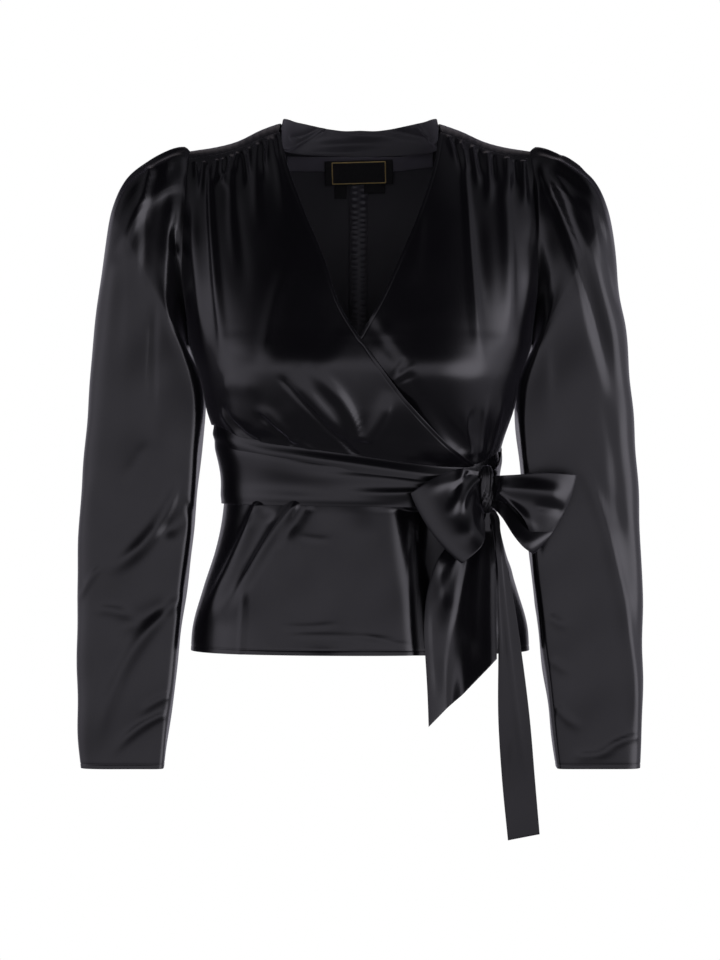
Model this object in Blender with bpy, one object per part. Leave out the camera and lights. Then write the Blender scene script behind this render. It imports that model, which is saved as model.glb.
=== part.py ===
"""Satin wrap top with puff sleeves, a peplum and a sash tied in a bow, filled out as when worn.

Every piece of cloth is a thin wall. Metres, +Z up, and the front faces -Y. The origin is midway
between the shoulders, where the wearer's shoulders carry the top. Right and left are the wearer's,
so the right side lies towards -X. The right front crosses over the left one.
"""

import math
from collections import namedtuple

import bpy
import numpy as np

# Thickness of the cloth, and the gap between two pieces at a seam.
WALL = 0.0014
SASH_WALL = 0.0018
LABEL_WALL = 0.0010
SEAM_GAP = 0.0003
RIGHT, LEFT = -1.0, 1.0

# Where the grids end at the side seams, in degrees, and the gaps that lean on the figure's curve:
# round the armholes in metres, and behind the yokes and under the neck in units of the climb.
SIDE_TURN = 89.95
HOLE_GAP = 0.0009
CLIMB_GAP, NECK_GAP = 0.004, 0.002

# The figure that fills the top: half an outline and two depths at each height, from the hem up to
# the underarm. A squareness of 2 is an ellipse, and more is boxier.
Section = namedtuple("Section", "height half_width front back square")
SECTIONS = (
    Section(-0.5095, 0.1690, 0.1130, 0.1170, 2.20),
    Section(-0.4880, 0.1675, 0.1115, 0.1150, 2.20),
    Section(-0.4500, 0.1570, 0.1060, 0.1070, 2.25),
    Section(-0.4100, 0.1445, 0.0995, 0.0940, 2.30),
    Section(-0.3700, 0.1365, 0.0950, 0.0840, 2.30),
    Section(-0.3400, 0.1345, 0.0940, 0.0810, 2.30),
    Section(-0.3050, 0.1415, 0.1000, 0.0850, 2.35),
    Section(-0.2700, 0.1522, 0.1140, 0.0930, 2.45),
    Section(-0.2350, 0.1595, 0.1235, 0.0995, 2.50),
    Section(-0.2050, 0.1700, 0.1210, 0.1030, 2.50),
)
HEM, UNDERARM = SECTIONS[0].height, SECTIONS[-1].height
LOWER_SPAN = 0.24  # the height that one unit of the climb stands for below the underarm

# Above the underarm the figure arches over the shoulders.
ShoulderWidth = namedtuple("ShoulderWidth", "climb half_width")
SHOULDER_WIDTHS = (
    ShoulderWidth(0.00, 0.1700),
    ShoulderWidth(0.06, 0.1742),
    ShoulderWidth(0.12, 0.1788),
    ShoulderWidth(0.30, 0.1890),
    ShoulderWidth(1.00, 0.1930),
)
FRONT_SLOPE, BACK_SLOPE = 1.35, 3.75  # how late each side leans towards the ridge
Ridge = namedtuple("Ridge", "across height")
RIDGE = (
    Ridge(0.000, 0.0260),
    Ridge(0.060, 0.0200),
    Ridge(0.078, 0.0165),
    Ridge(0.098, 0.0095),
    Ridge(0.122, -0.0015),
    Ridge(0.145, -0.0078),
    Ridge(0.172, -0.0120),
)
BUST_ACROSS, BUST_HEIGHT, BUST_RADIUS, BUST_RISE = 0.082, -0.242, 0.055, 0.006

# Edges of the bodice, as seen from the front.
Point = namedtuple("Point", "across height")
RIGHT_EDGE = (
    Point(-0.0797, 0.0050),
    Point(-0.0718, -0.0280),
    Point(-0.0556, -0.0746),
    Point(-0.0349, -0.1250),
    Point(-0.0202, -0.1690),
    Point(0.0144, -0.2230),
    Point(0.0355, -0.2516),
    Point(0.0618, -0.2800),
    Point(0.0891, -0.3085),
    Point(0.1120, -0.3255),
)
LEFT_EDGE = (
    Point(0.0797, 0.0050),
    Point(0.0735, -0.0280),
    Point(0.0590, -0.0746),
    Point(0.0385, -0.1250),
    Point(0.0182, -0.1690),
    Point(-0.0160, -0.2230),
    Point(-0.0370, -0.2516),
    Point(-0.0640, -0.2780),
    Point(-0.1120, -0.2985),
)
SHOULDER_SEAM = (
    Point(0.1700, -0.0210),
    Point(0.1540, -0.0190),
    Point(0.1340, -0.0150),
    Point(0.1180, -0.0100),
    Point(0.1000, -0.0025),
    Point(0.0797, 0.0050),
)
ARMHOLE = (
    Point(0.1700, -0.2050),
    Point(0.1712, -0.1850),
    Point(0.1745, -0.1500),
    Point(0.1750, -0.1100),
    Point(0.1735, -0.0600),
    Point(0.1715, -0.0300),
    Point(0.1700, -0.0120),
)
FRONT_WAIST = (
    Point(-0.1450, -0.2850),
    Point(-0.0976, -0.3020),
    Point(-0.0600, -0.3080),
    Point(-0.0020, -0.3160),
    Point(0.0514, -0.3235),
    Point(0.0868, -0.3270),
    Point(0.1156, -0.3250),
    Point(0.1370, -0.3120),
)
BACK_WAIST = (
    Point(-0.1450, -0.2850),
    Point(0.0000, -0.2920),
    Point(0.1370, -0.3120),
)
BAND_HEIGHT = 0.035
RIGHT_EDGE_BELOW, LEFT_EDGE_BELOW = (0.1150, 0.1190), (-0.0900, -0.0600)
BACK_SEAM_ACROSS = -0.0115

# The right front stands off where the left one lies under it, and that one sinks in.
OVER_LIFT, UNDER_DROP = 0.0012, 0.0016

# Half the neckline behind, from the shoulder to the middle of the back, and the band that stands
# on it. The climb is 1 at the ridge and goes on down the back.
NeckPoint = namedtuple("NeckPoint", "share across climb rise")
NECK = (
    NeckPoint(0.00, 0.0797, 0.835, 0.0036),
    NeckPoint(0.16, 0.0790, 1.000, 0.0050),
    NeckPoint(0.34, 0.0715, 1.140, 0.0100),
    NeckPoint(0.52, 0.0580, 1.230, 0.0155),
    NeckPoint(0.70, 0.0380, 1.302, 0.0210),
    NeckPoint(0.86, 0.0180, 1.340, 0.0240),
    NeckPoint(1.00, 0.0000, 1.348, 0.0247),
)
BAND_LEAN = 0.965
YOKE_BACK = NECK[2]
TAPE_WIDTH, TAPE_DROP, TAPE_REACH = 0.0085, 0.0025, 0.060

# Gathers along the shoulder seams and the sleeve heads.
SHOULDER_GATHERS, GATHER_HEIGHT, GATHER_LENGTH = 6, 0.0026, 0.36
HEAD_GATHERS, HEAD_GATHER_HEIGHT, HEAD_SPREAD = 6, 0.0034, math.radians(78)

# Folds run from a root to a tip and die out there. A negative height is a hollow.
Fold = namedtuple("Fold", "root_x root_z tip_x tip_z width height")
BODICE_TUCKS = (
    Fold(-0.1060, -0.3000, -0.1300, -0.2760, 0.0090, 0.0030),
    Fold(-0.0900, -0.3030, -0.1230, -0.2680, 0.0110, 0.0035),
    Fold(-0.0620, -0.3070, -0.1000, -0.2600, 0.0120, 0.0040),
    Fold(-0.0060, -0.3150, -0.0780, -0.2450, 0.0150, 0.0050),
)
PEPLUM_FOLDS = (
    Fold(-0.1030, -0.3680, -0.1600, -0.4900, 0.0100, 0.0055),
    Fold(-0.0640, -0.3680, -0.1020, -0.4500, 0.0110, 0.0050),
)
BACK_FOLDS = (
    Fold(-0.0560, -0.3700, -0.0720, -0.7000, 0.0130, 0.0045),
    Fold(-0.0950, -0.3700, -0.1350, -0.7000, 0.0130, 0.0050),
    Fold(0.0420, -0.3700, 0.0560, -0.7000, 0.0130, 0.0045),
    Fold(0.0920, -0.3700, 0.1300, -0.7000, 0.0130, 0.0050),
)

# The sleeve, as rings from the armhole to the cuff. Each ring runs from its inner point to its
# outer one as seen from the front, and bulges to the front and the back. The first rings keep
# the armhole's own shape to a share.
Ring = namedtuple("Ring", "inner_x inner_z outer_x outer_z bulge middle armhole gather")
SLEEVE_RINGS = (
    Ring(0.1703, -0.2050, 0.1703, -0.0120, 0.050, 0.000, 1.00, 0.00),
    Ring(0.1712, -0.2066, 0.1770, -0.0090, 0.052, 0.000, 0.85, 0.50),
    Ring(0.1720, -0.2085, 0.1900, -0.0132, 0.056, 0.000, 0.60, 1.00),
    Ring(0.1713, -0.2115, 0.2095, -0.0245, 0.060, 0.000, 0.30, 0.80),
    Ring(0.1685, -0.2160, 0.2315, -0.0425, 0.063, 0.000, 0.10, 0.50),
    Ring(0.1642, -0.2230, 0.2455, -0.0715, 0.064, -0.001, 0.00, 0.25),
    Ring(0.1590, -0.2340, 0.2530, -0.1100, 0.064, -0.002, 0.00, 0.10),
    Ring(0.1552, -0.2500, 0.2592, -0.1550, 0.062, -0.003, 0.00, 0.00),
    Ring(0.1558, -0.2760, 0.2655, -0.2100, 0.058, -0.005, 0.00, 0.00),
    Ring(0.1593, -0.3160, 0.2710, -0.2750, 0.053, -0.009, 0.00, 0.00),
    Ring(0.1640, -0.3670, 0.2760, -0.3450, 0.047, -0.012, 0.00, 0.00),
    Ring(0.1695, -0.4170, 0.2785, -0.4030, 0.043, -0.016, 0.00, 0.00),
    Ring(0.1760, -0.4730, 0.2800, -0.4640, 0.038, -0.020, 0.00, 0.00),
    Ring(0.1822, -0.5270, 0.2800, -0.5230, 0.034, -0.024, 0.00, 0.00),
    Ring(0.1889, -0.5820, 0.2786, -0.5810, 0.029, -0.028, 0.00, 0.00),
    Ring(0.1942, -0.6243, 0.2766, -0.6243, 0.025, -0.031, 0.00, 0.00),
)
SLEEVE_CLEARANCE = 0.0026
HEAD_CELLS, UNDER_CELLS = 26, 18
SleeveFold = namedtuple("SleeveFold", "turn drift ring spread width height")
SLEEVE_FOLDS = (
    SleeveFold(0.95, -0.06, 7.0, 3.0, 0.22, -0.0045),
    SleeveFold(1.75, -0.05, 8.0, 3.0, 0.24, -0.0045),
    SleeveFold(2.40, -0.20, 12.0, 2.2, 0.28, -0.0040),
    SleeveFold(4.40, 0.05, 8.0, 3.0, 0.24, -0.0045),
    SleeveFold(5.30, 0.05, 7.0, 3.0, 0.22, -0.0045),
)

# The sash: its edges from the right side across the front to the knot, and from the right side
# round the back and the left side to the knot. Turns over 90 degrees are in front again.
SashEdge = namedtuple("SashEdge", "turn top bottom forward")
SASH_FRONT = (
    SashEdge(-89.9, -0.2970, -0.3635, 0.000),
    SashEdge(-50.0, -0.3050, -0.3645, 0.000),
    SashEdge(-5.0, -0.3225, -0.3660, 0.000),
    SashEdge(20.0, -0.3310, -0.3668, 0.000),
    SashEdge(44.0, -0.3370, -0.3665, 0.000),
    SashEdge(53.8, -0.3400, -0.3630, 0.004),
)
SASH_BACK = (
    SashEdge(-89.9, -0.2970, -0.3635, 0.000),
    SashEdge(-40.0, -0.2985, -0.3630, 0.000),
    SashEdge(10.0, -0.3010, -0.3620, 0.000),
    SashEdge(60.0, -0.3040, -0.3580, 0.000),
    SashEdge(90.0, -0.3120, -0.3540, 0.000),
    SashEdge(98.0, -0.3230, -0.3510, 0.009),
    SashEdge(107.5, -0.3300, -0.3500, 0.033),
)
SASH_LIFT = 0.0046

# The bow. Each loop is a ribbon that leaves the knot, folds back and returns to it. Its rows give
# both edges of the ribbon at a share of the way out.
KnotSize = namedtuple("KnotSize", "x y z half_width half_depth half_height")
KNOT = KnotSize(0.1232, -0.0700, -0.3490, 0.0080, 0.0130, 0.0235)
KNOT_FOLDS, KNOT_FOLD_HEIGHT = 4, 0.07
LoopRow = namedtuple("LoopRow", "out top_x top_z bottom_x bottom_z y")
RIGHT_LOOP = (
    LoopRow(0.00, 0.1131, -0.3330, 0.1131, -0.3640, -0.0730),
    LoopRow(0.35, 0.0960, -0.3300, 0.1115, -0.3850, -0.0850),
    LoopRow(0.70, 0.0680, -0.3400, 0.1090, -0.4070, -0.1010),
    LoopRow(1.00, 0.0480, -0.3520, 0.0960, -0.4180, -0.1100),
)
LEFT_LOOP = (
    LoopRow(0.00, 0.1331, -0.3360, 0.1331, -0.3640, -0.0725),
    LoopRow(0.35, 0.1490, -0.3350, 0.1400, -0.3830, -0.0900),
    LoopRow(0.70, 0.1800, -0.3325, 0.1530, -0.4010, -0.0940),
    LoopRow(1.00, 0.2080, -0.3340, 0.1665, -0.4150, -0.0900),
)
LOOP_GAP, LOOP_ROOT_SHARE = 0.0110, 0.30
TailRow = namedtuple("TailRow", "height left right depth")
WIDE_TAIL = (
    TailRow(-0.3729, 0.1180, 0.1275, 0.0720),
    TailRow(-0.3900, 0.1000, 0.1300, 0.0745),
    TailRow(-0.4110, 0.0790, 0.1315, 0.0790),
    TailRow(-0.4350, 0.0680, 0.1320, 0.0830),
    TailRow(-0.4700, 0.0620, 0.1320, 0.0865),
    TailRow(-0.5125, 0.0662, 0.1320, 0.0880),
)
NARROW_TAIL = (
    TailRow(-0.3729, 0.1250, 0.1345, 0.0742),
    TailRow(-0.3900, 0.1290, 0.1370, 0.0775),
    TailRow(-0.4200, 0.1335, 0.1420, 0.0810),
    TailRow(-0.4650, 0.1345, 0.1510, 0.0820),
    TailRow(-0.5060, 0.1345, 0.1570, 0.0820),
    TailRow(-0.5720, 0.1345, 0.1652, 0.0820),
    TailRow(-0.6330, 0.1385, 0.1705, 0.0800),
    TailRow(-0.6850, 0.1440, 0.1750, 0.0790),
)
WIDE_TAIL_SLANT, NARROW_TAIL_SLANT = -0.0655, -0.0060  # how much lower the left corner ends
TAIL_CLEARANCE = 0.0050

# The woven label and the two small tabs that hang below it, inside the back.
Tab = namedtuple("Tab", "across top width height turn depth")
TAPE_DEPTH = 0.0030
LABEL = Tab(-0.0015, -0.0125, 0.0700, 0.0245, 1.5, 0.0050)
SIZE_TAB = Tab(-0.0195, -0.0330, 0.0125, 0.0180, -2.0, 0.0031)
CARE_TAB = Tab(0.0148, -0.0320, 0.0215, 0.0140, 1.0, 0.0031)

SATIN = {"color": (0.010, 0.010, 0.012, 1.0), "roughness": 0.34}
WOVEN_LABEL = {"color": (0.008, 0.008, 0.008, 1.0), "roughness": 0.80}


def column(rows, name):
    return np.array([getattr(row, name) for row in rows])


def smooth(x, at, values):
    """Values read off a curve that passes smoothly through the rows of a table."""
    slopes = np.gradient(values, at)
    x = np.clip(x, at[0], at[-1])
    k = np.clip(np.searchsorted(at, x) - 1, 0, len(at) - 2)
    span = at[k + 1] - at[k]
    t = (x - at[k]) / span
    rise = values[k + 1] - values[k]
    start, end = slopes[k] * span, slopes[k + 1] * span
    return values[k] + t * (start + t * (3 * rise - 2 * start - end + t * (start + end - 2 * rise)))


def read(rows, key, at, *names):
    """The named columns of a table, read at places along its key column."""
    order = np.argsort(column(rows, key))
    keys = column(rows, key)[order]
    return [smooth(at, keys, column(rows, name)[order]) for name in names]


def ramp(x, low, high):
    """0 below low, 1 above high, and a soft rise between them."""
    t = np.clip((x - low) / (high - low), 0.0, 1.0)
    return t * t * (3 - 2 * t)


def along(points, t):
    """Places at the shares t of the length of a smooth curve through the points."""
    across, height = column(points, "across"), column(points, "height")
    lengths = np.hypot(np.diff(across), np.diff(height))
    at = np.concatenate([[0.0], np.cumsum(lengths)]) / lengths.sum()
    return smooth(t, at, across), smooth(t, at, height)


def ridge_at(across):
    return read(RIDGE, "across", np.abs(across), "height")[0]


def half_width(climb):
    below = read(SECTIONS, "height", UNDERARM + LOWER_SPAN * np.minimum(climb, 0), "half_width")[0]
    above = read(SHOULDER_WIDTHS, "climb", np.clip(climb, 0, 1), "half_width")[0]
    return np.where(climb < 0, below, above)


def figure(turn, climb):
    """Points of the figure. The turn runs from -90 degrees at the right side to 90 at the left
    one. The climb is 0 at the underarm in front, 1 at the ridge and 2 at the underarm behind."""
    turn, climb = np.broadcast_arrays(np.radians(turn), climb)
    behind = climb > 1
    climb = np.where(behind, 2 - climb, climb)
    height = UNDERARM + LOWER_SPAN * np.minimum(climb, 0.0)
    front, back, square = read(SECTIONS, "height", height, "front", "back", "square")
    across = half_width(climb) * np.sign(turn) * np.abs(np.sin(turn)) ** (2 / square)
    lean = np.sin(np.clip(climb, 0, 1) * math.pi / 2)
    cap = np.sqrt(np.clip(1 - lean ** np.where(behind, BACK_SLOPE, FRONT_SLOPE), 0.0, 1.0))
    y = np.where(behind, back, -front) * np.abs(np.cos(turn)) ** (2 / square) * cap
    z = np.where(climb < 0, height, UNDERARM + lean * (ridge_at(across) - UNDERARM))
    away = np.hypot(np.abs(across) - BUST_ACROSS, z - BUST_HEIGHT) / BUST_RADIUS
    y = y - np.where(behind, 0.0, BUST_RISE * np.exp(-(away**2)))
    return np.stack([across, y, z], axis=-1)


def lifted(turn, climb, lift):
    """Points of the figure, moved out of it by the lift."""
    small = 1e-3
    turn_step = np.where(np.asarray(turn) > 0, -60 * small, 60 * small)
    here = figure(turn, climb)
    aside = (figure(turn + turn_step, climb) - here) * np.sign(turn_step)[..., None]
    normal = np.cross(aside, here - figure(turn, climb - small))
    normal /= np.linalg.norm(normal, axis=-1, keepdims=True)
    return here + normal * np.asarray(lift)[..., None]


def place(across, height, behind=False):
    """The turn and the climb of the place seen at across and height."""
    across, height = np.broadcast_arrays(across, height)
    lean = np.clip((height - UNDERARM) / (ridge_at(across) - UNDERARM), 0.0, 1.0)
    below = (height - UNDERARM) / LOWER_SPAN
    climb = np.where(height < UNDERARM, below, np.arcsin(lean) / (math.pi / 2))
    return np.stack([turn_at(across, climb), 2 - climb if behind else climb], axis=-1)


def turn_at(across, climb):
    """The turn at which the figure is as far across, at a climb."""
    climb = np.where(np.asarray(climb) > 1, 2 - climb, climb)
    height = UNDERARM + LOWER_SPAN * np.minimum(climb, 0.0)
    square = read(SECTIONS, "height", height, "square")[0]
    share = np.clip(np.abs(across) / half_width(climb), 0.0, 1.0)
    return np.degrees(np.arcsin(share ** (square / 2))) * np.sign(across)


def patch(first, last, start, end):
    """A grid of turns and climbs inside four edges. The first and last ones run along the rows,
    and the start and the end join them."""
    first[0], first[-1], last[0], last[-1] = start[0], end[0], start[-1], end[-1]
    s = np.linspace(0, 1, len(first))[:, None, None]
    t = np.linspace(0, 1, len(start))[None, :, None]
    ruled = (1 - t) * first[:, None] + t * last[:, None] + (1 - s) * start[None] + s * end[None]
    corners = (1 - s) * ((1 - t) * first[0] + t * last[0]) + s * ((1 - t) * first[-1] + t * last[-1])
    return ruled - corners


def join(*parts):
    """One edge from several that follow each other."""
    return np.concatenate([parts[0]] + [part[1:] for part in parts[1:]])


def folded(points, folds):
    """How far the cloth stands off at each point, for folds that fade out at both ends."""
    across, height = points[..., 0], points[..., 2]
    total = np.zeros(across.shape)
    for fold in folds:
        dx, dz = fold.tip_x - fold.root_x, fold.tip_z - fold.root_z
        length = math.hypot(dx, dz)
        run = ((across - fold.root_x) * dx + (height - fold.root_z) * dz) / length**2
        aside = ((across - fold.root_x) * dz - (height - fold.root_z) * dx) / length
        wide = fold.width * (0.6 + 0.7 * np.clip(run, 0, 1))
        ends = ramp(run, 0, 0.22) * (1 - ramp(run, 0.5, 1))
        total += fold.height * np.exp(-((aside / wide) ** 2)) * ends
    return total


def gathers(s, t):
    """Ripples that leave the gathered seam at t = 1 and die out below it."""
    ripple = 0.5 - 0.5 * np.cos(2 * math.pi * SHOULDER_GATHERS * s)
    return GATHER_HEIGHT * ripple * ramp(t, 1 - GATHER_LENGTH, 0.93) * (1 - 0.6 * ramp(t, 0.93, 1.0))


def edge_across(edge, height):
    """How far across an edge lies at each height."""
    return read(edge, "height", height, "across")[0]


def over_lift(points):
    """How far the right front stands off where the left front lies under it."""
    across, height = points[..., 0], points[..., 2]
    under = edge_across(LEFT_EDGE, height)
    return OVER_LIFT * ramp(across, under - 0.030, under - 0.004) * ramp(-height, 0.165, 0.205)


def under_drop(points):
    """How far the left front sinks in where the right front lies over it."""
    across, height = points[..., 0], points[..., 2]
    inside = edge_across(RIGHT_EDGE, height) + 0.030 - across
    return -UNDER_DROP * ramp(inside, 0.0, 0.014) * ramp(-height, 0.150, 0.190)


def no_lift(points):
    return np.zeros(points.shape[:-1])


def add(name, vertices, faces, look):
    """Puts a mesh into the scene under its own name, with a material of its own."""
    material = bpy.data.materials.new(name)
    material.use_nodes = True
    shader = material.node_tree.nodes["Principled BSDF"]
    shader.inputs["Base Color"].default_value = look["color"]
    shader.inputs["Roughness"].default_value = look["roughness"]
    shader.inputs["Metallic"].default_value = 0.0
    mesh = bpy.data.meshes.new(name)
    mesh.from_pydata(vertices.tolist(), [], faces.tolist())
    mesh.materials.append(material)
    mesh.shade_smooth()
    mesh.set_sharp_from_angle(angle=math.radians(50))
    bpy.context.scene.collection.objects.link(bpy.data.objects.new(name, mesh))


def triangles(grid, around=False):
    """The faces of a grid, each cell cut along its shorter diagonal. The last row of a tube is
    joined to its first one."""
    rows, columns = grid.shape[:2]
    i, j = np.meshgrid(np.arange(rows if around else rows - 1), np.arange(columns - 1), indexing="ij")
    a, b = (i * columns + j).ravel(), ((i + 1) % rows * columns + j).ravel()
    c, d = b + 1, a + 1
    points = grid.reshape(-1, 3)
    short = np.linalg.norm(points[a] - points[c], axis=1) <= np.linalg.norm(points[b] - points[d], axis=1)
    first = np.where(short, [a, b, c], [a, b, d])
    second = np.where(short, [a, c, d], [b, c, d])
    return np.concatenate([first, second], axis=1).T


def cloth(name, outer, inner, look=SATIN, around=False):
    """A wall of cloth between two grids of points, closed along its open edges."""
    size = outer.shape[0] * outer.shape[1]
    face = triangles(outer, around)
    number = np.arange(size).reshape(outer.shape[:2])
    if around:
        rims = [np.append(number[::-1, 0], number[-1, 0]), np.append(number[:, -1], number[0, -1])]
    else:
        rims = [join(number[::-1, 0], number[0, :], number[:, -1], number[-1, ::-1])]
    edges = []
    for rim in rims:
        edges.append(np.stack([rim[:-1], rim[1:], rim[1:] + size], axis=-1))
        edges.append(np.stack([rim[:-1], rim[1:] + size, rim[:-1] + size], axis=-1))
    faces = np.concatenate([face, face[:, ::-1] + size] + edges)
    add(name, np.concatenate([outer.reshape(-1, 3), inner.reshape(-1, 3)]), faces, look)


def panel(name, side, grid, lift, wall=WALL, look=SATIN):
    """A wall of cloth on the figure, from a grid of turns and climbs."""
    turn, climb = faced(grid, side)[..., 0], faced(grid, side)[..., 1]
    lift = faced(lift, side)
    cloth(name, lifted(turn, climb, lift), lifted(turn, climb, lift - wall), look)


def walled(grid, wall, around=False):
    """The inner face of a free grid, as far behind each point as the wall is thick."""
    if around:
        along_rows = np.roll(grid, -1, axis=0) - np.roll(grid, 1, axis=0)
    else:
        along_rows = np.gradient(grid, axis=0)
    normal = np.cross(along_rows, np.gradient(grid, axis=1))
    return grid - wall * normal / np.linalg.norm(normal, axis=-1, keepdims=True)


def faced(grid, side):
    """The grid with its rows in the order that turns its faces out, on either side."""
    return grid if side == RIGHT else grid[::-1]


def hole_edge(side, climbs):
    """The armhole at the given climbs."""
    climb = np.where(climbs > 1, 2 - climbs, climbs)
    height = UNDERARM + np.sin(climb * math.pi / 2) * (ARMHOLE[-1].height - UNDERARM)
    across = read(ARMHOLE, "height", height, "across")[0]
    return np.stack([turn_at(across * side, climb), climbs], axis=-1)


def side_edge(side, low, count, behind=False):
    """The side seam from the underarm down to a height, in front or behind."""
    climb = np.linspace(0.0, (low - UNDERARM) / LOWER_SPAN, count)
    return np.stack([np.full(count, SIDE_TURN * side), 2 - climb if behind else climb], axis=-1)


def level_edge(side, end_across, heights, drop, count, behind=False):
    """An edge below the underarm, from a side seam to a place across, at the tabled heights."""
    end_height = read(heights, "across", end_across, "height")[0] - drop
    turns = np.linspace(SIDE_TURN * side, place(end_across, end_height)[0], count)
    climb = np.full(count, (end_height - UNDERARM) / LOWER_SPAN)
    for _ in range(4):
        across = figure(turns, climb)[:, 0]
        climb = (read(heights, "across", across, "height")[0] - drop - UNDERARM) / LOWER_SPAN
    return np.stack([turns, 2 - climb if behind else climb], axis=-1)


def front(name, side, edge, lift, folds):
    """One front of the bodice, from the waist seam up to the gathered shoulder seam."""
    waist = level_edge(side, edge[-1].across, FRONT_WAIST, -SEAM_GAP, 27)
    across, height = along(SHOULDER_SEAM, np.linspace(0, 1, 27))
    shoulder = place(across * side, height)
    seam = side_edge(side, UNDERARM + LOWER_SPAN * waist[0, 1], 5)[::-1]
    outer = join(seam, hole_edge(side, np.linspace(0, shoulder[0, 1], 12)))
    inner = place(*along(edge, np.linspace(1, 0, 16)))
    grid = patch(waist, shoulder, outer, inner)
    flat = figure(grid[..., 0], grid[..., 1])
    s, t = np.meshgrid(np.linspace(0, 1, 27), np.linspace(0, 1, 16), indexing="ij")
    panel(name, side, grid, lift(flat) + folded(flat, folds) + gathers(s, t))


def neck_edge(side, shares):
    across, climb = read(NECK, "share", shares, "across", "climb")
    return np.stack([turn_at(across * side, climb), climb], axis=-1)


def yoke_seam(side, count, gap):
    """The seam behind the ridge of one shoulder, from the armhole to the neck."""
    across = side * np.linspace(ARMHOLE[-1].across, YOKE_BACK.across, count)
    climb = np.full(count, YOKE_BACK.climb + gap)
    return np.stack([turn_at(across, climb), climb], axis=-1)


def yoke(name, side):
    """The strip over one shoulder, from the gathered seam in front to the back."""
    across, height = along(SHOULDER_SEAM, np.linspace(0, 1, 9))
    seam = place(across * side, height + 2.5 * SEAM_GAP)
    hole = hole_edge(side, np.linspace(seam[0, 1], YOKE_BACK.climb, 7))
    neck = neck_edge(side, np.linspace(0.006, YOKE_BACK.share, 7))
    grid = patch(seam, yoke_seam(side, 9, 0.0), hole, neck)
    panel(name, side, grid, np.zeros(grid.shape[:2]))


def back(name, side):
    """Half the back of the bodice, from the yoke and the neck down to the waist."""
    neck_across = np.linspace(YOKE_BACK.across * side, BACK_SEAM_ACROSS + side * SEAM_GAP / 2, 6)
    neck_climb = read(NECK, "across", np.abs(neck_across), "climb")[0] + NECK_GAP
    neck = np.stack([turn_at(neck_across, neck_climb), neck_climb], axis=-1)
    top = join(yoke_seam(side, 9, CLIMB_GAP), neck)
    middle = neck_across[-1]
    waist = level_edge(side, middle, BACK_WAIST, -SEAM_GAP, len(top), behind=True)
    low = UNDERARM + LOWER_SPAN * (2 - waist[0, 1])
    hole = hole_edge(side, np.linspace(YOKE_BACK.climb + CLIMB_GAP, 2, 8))
    outer = join(hole, side_edge(side, low, 4, True))
    start_height = figure(neck[-1, 0], neck[-1, 1])[2]
    end_height = UNDERARM + LOWER_SPAN * (2 - waist[-1, 1])
    heights = np.linspace(start_height, end_height, len(outer))
    inner = place(np.full(len(outer), middle), heights, behind=True)
    grid = patch(top, waist, outer, inner)
    panel(name, side, grid, no_lift(grid))


def below_waist(name, side, ends, heights, drops, counts, lift, folds=(), behind=False):
    """A strip from a side seam to an edge, between two drops below the tabled heights."""
    top = level_edge(side, ends[0], heights, drops[0], counts[0], behind)
    low = level_edge(side, ends[1], heights, drops[1], counts[0], behind)
    if drops[1] > BAND_HEIGHT:
        low[:, 1] = (HEM - UNDERARM) / LOWER_SPAN
        low[:, 1] = 2 - low[:, 1] if behind else low[:, 1]
    share = np.linspace(0, 1, counts[1])[:, None]
    start, end = top[0] + (low[0] - top[0]) * share, top[-1] + (low[-1] - top[-1]) * share
    grid = patch(top, low, start, end)
    grid = grid if behind else grid[:, ::-1]
    flat = figure(grid[..., 0], grid[..., 1])
    panel(name, side, grid, lift(flat) + folded(flat, folds))


def neck_band():
    """The band that stands up round the back of the neck, from one front edge to the other."""
    half = np.linspace(0.012, 1, 17)
    shares = np.concatenate([half, half[-2::-1]])
    side = np.where(np.arange(len(shares)) < len(half), RIGHT, LEFT)
    across, climb, rise = read(NECK, "share", shares, "across", "climb", "rise")
    foot = lifted(turn_at(across * side, climb), climb, np.zeros(len(shares)))
    outward = foot * np.array([1.0, 1.0, 0.0])
    outward /= np.linalg.norm(outward, axis=-1, keepdims=True)
    up = np.linspace(0, 1, 4)[None, :, None]
    lean = np.array([BAND_LEAN, BAND_LEAN, 1.0])
    top = (foot + np.array([0.0, 0.0, 1.0]) * rise[:, None]) * lean
    start = foot + np.array([0.0, 0.0, SEAM_GAP])
    grid = start[:, None] * (1 - up) + top[:, None] * up
    cloth("neck_band", grid[::-1], (grid - WALL * outward[:, None])[::-1])


def hung(name, tab, wall, look, rows=9):
    """A strip inside the back, behind the points of the panel that it lies on."""
    s, t = np.meshgrid(np.linspace(-0.5, 0.5, rows), np.linspace(0, 1, 3), indexing="ij")
    angle = math.radians(tab.turn)
    across = tab.across + s * tab.width * math.cos(angle) + t * tab.height * math.sin(angle)
    height = tab.top + s * tab.width * math.sin(angle) - t * tab.height * math.cos(angle)
    grid = place(across, height, behind=True)
    panel(name, RIGHT, grid, np.full(s.shape, -tab.depth), wall, look)


def neck_tape():
    """The narrow tape that covers the neck seam inside the back."""
    across = np.linspace(-TAPE_REACH, TAPE_REACH, 25)
    climb = read(NECK, "across", np.abs(across), "climb")[0]
    height = figure(turn_at(across, climb), climb)[:, 2] - TAPE_DROP
    drop = np.linspace(0, TAPE_WIDTH, 2)
    grid = place(np.repeat(across[:, None], 2, 1), height[:, None] - drop, behind=True)
    panel("neck_tape", RIGHT, grid, np.full(grid.shape[:2], -TAPE_DEPTH), LABEL_WALL)


def round_the_sleeve():
    """Angles round a sleeve, from its outer line over the front. They lie closer at the head."""
    head = np.linspace(-HEAD_SPREAD, HEAD_SPREAD, HEAD_CELLS + 1)
    under = np.linspace(HEAD_SPREAD, 2 * math.pi - HEAD_SPREAD, UNDER_CELLS + 1)
    return np.concatenate([head, under[1:-1]])


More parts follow.
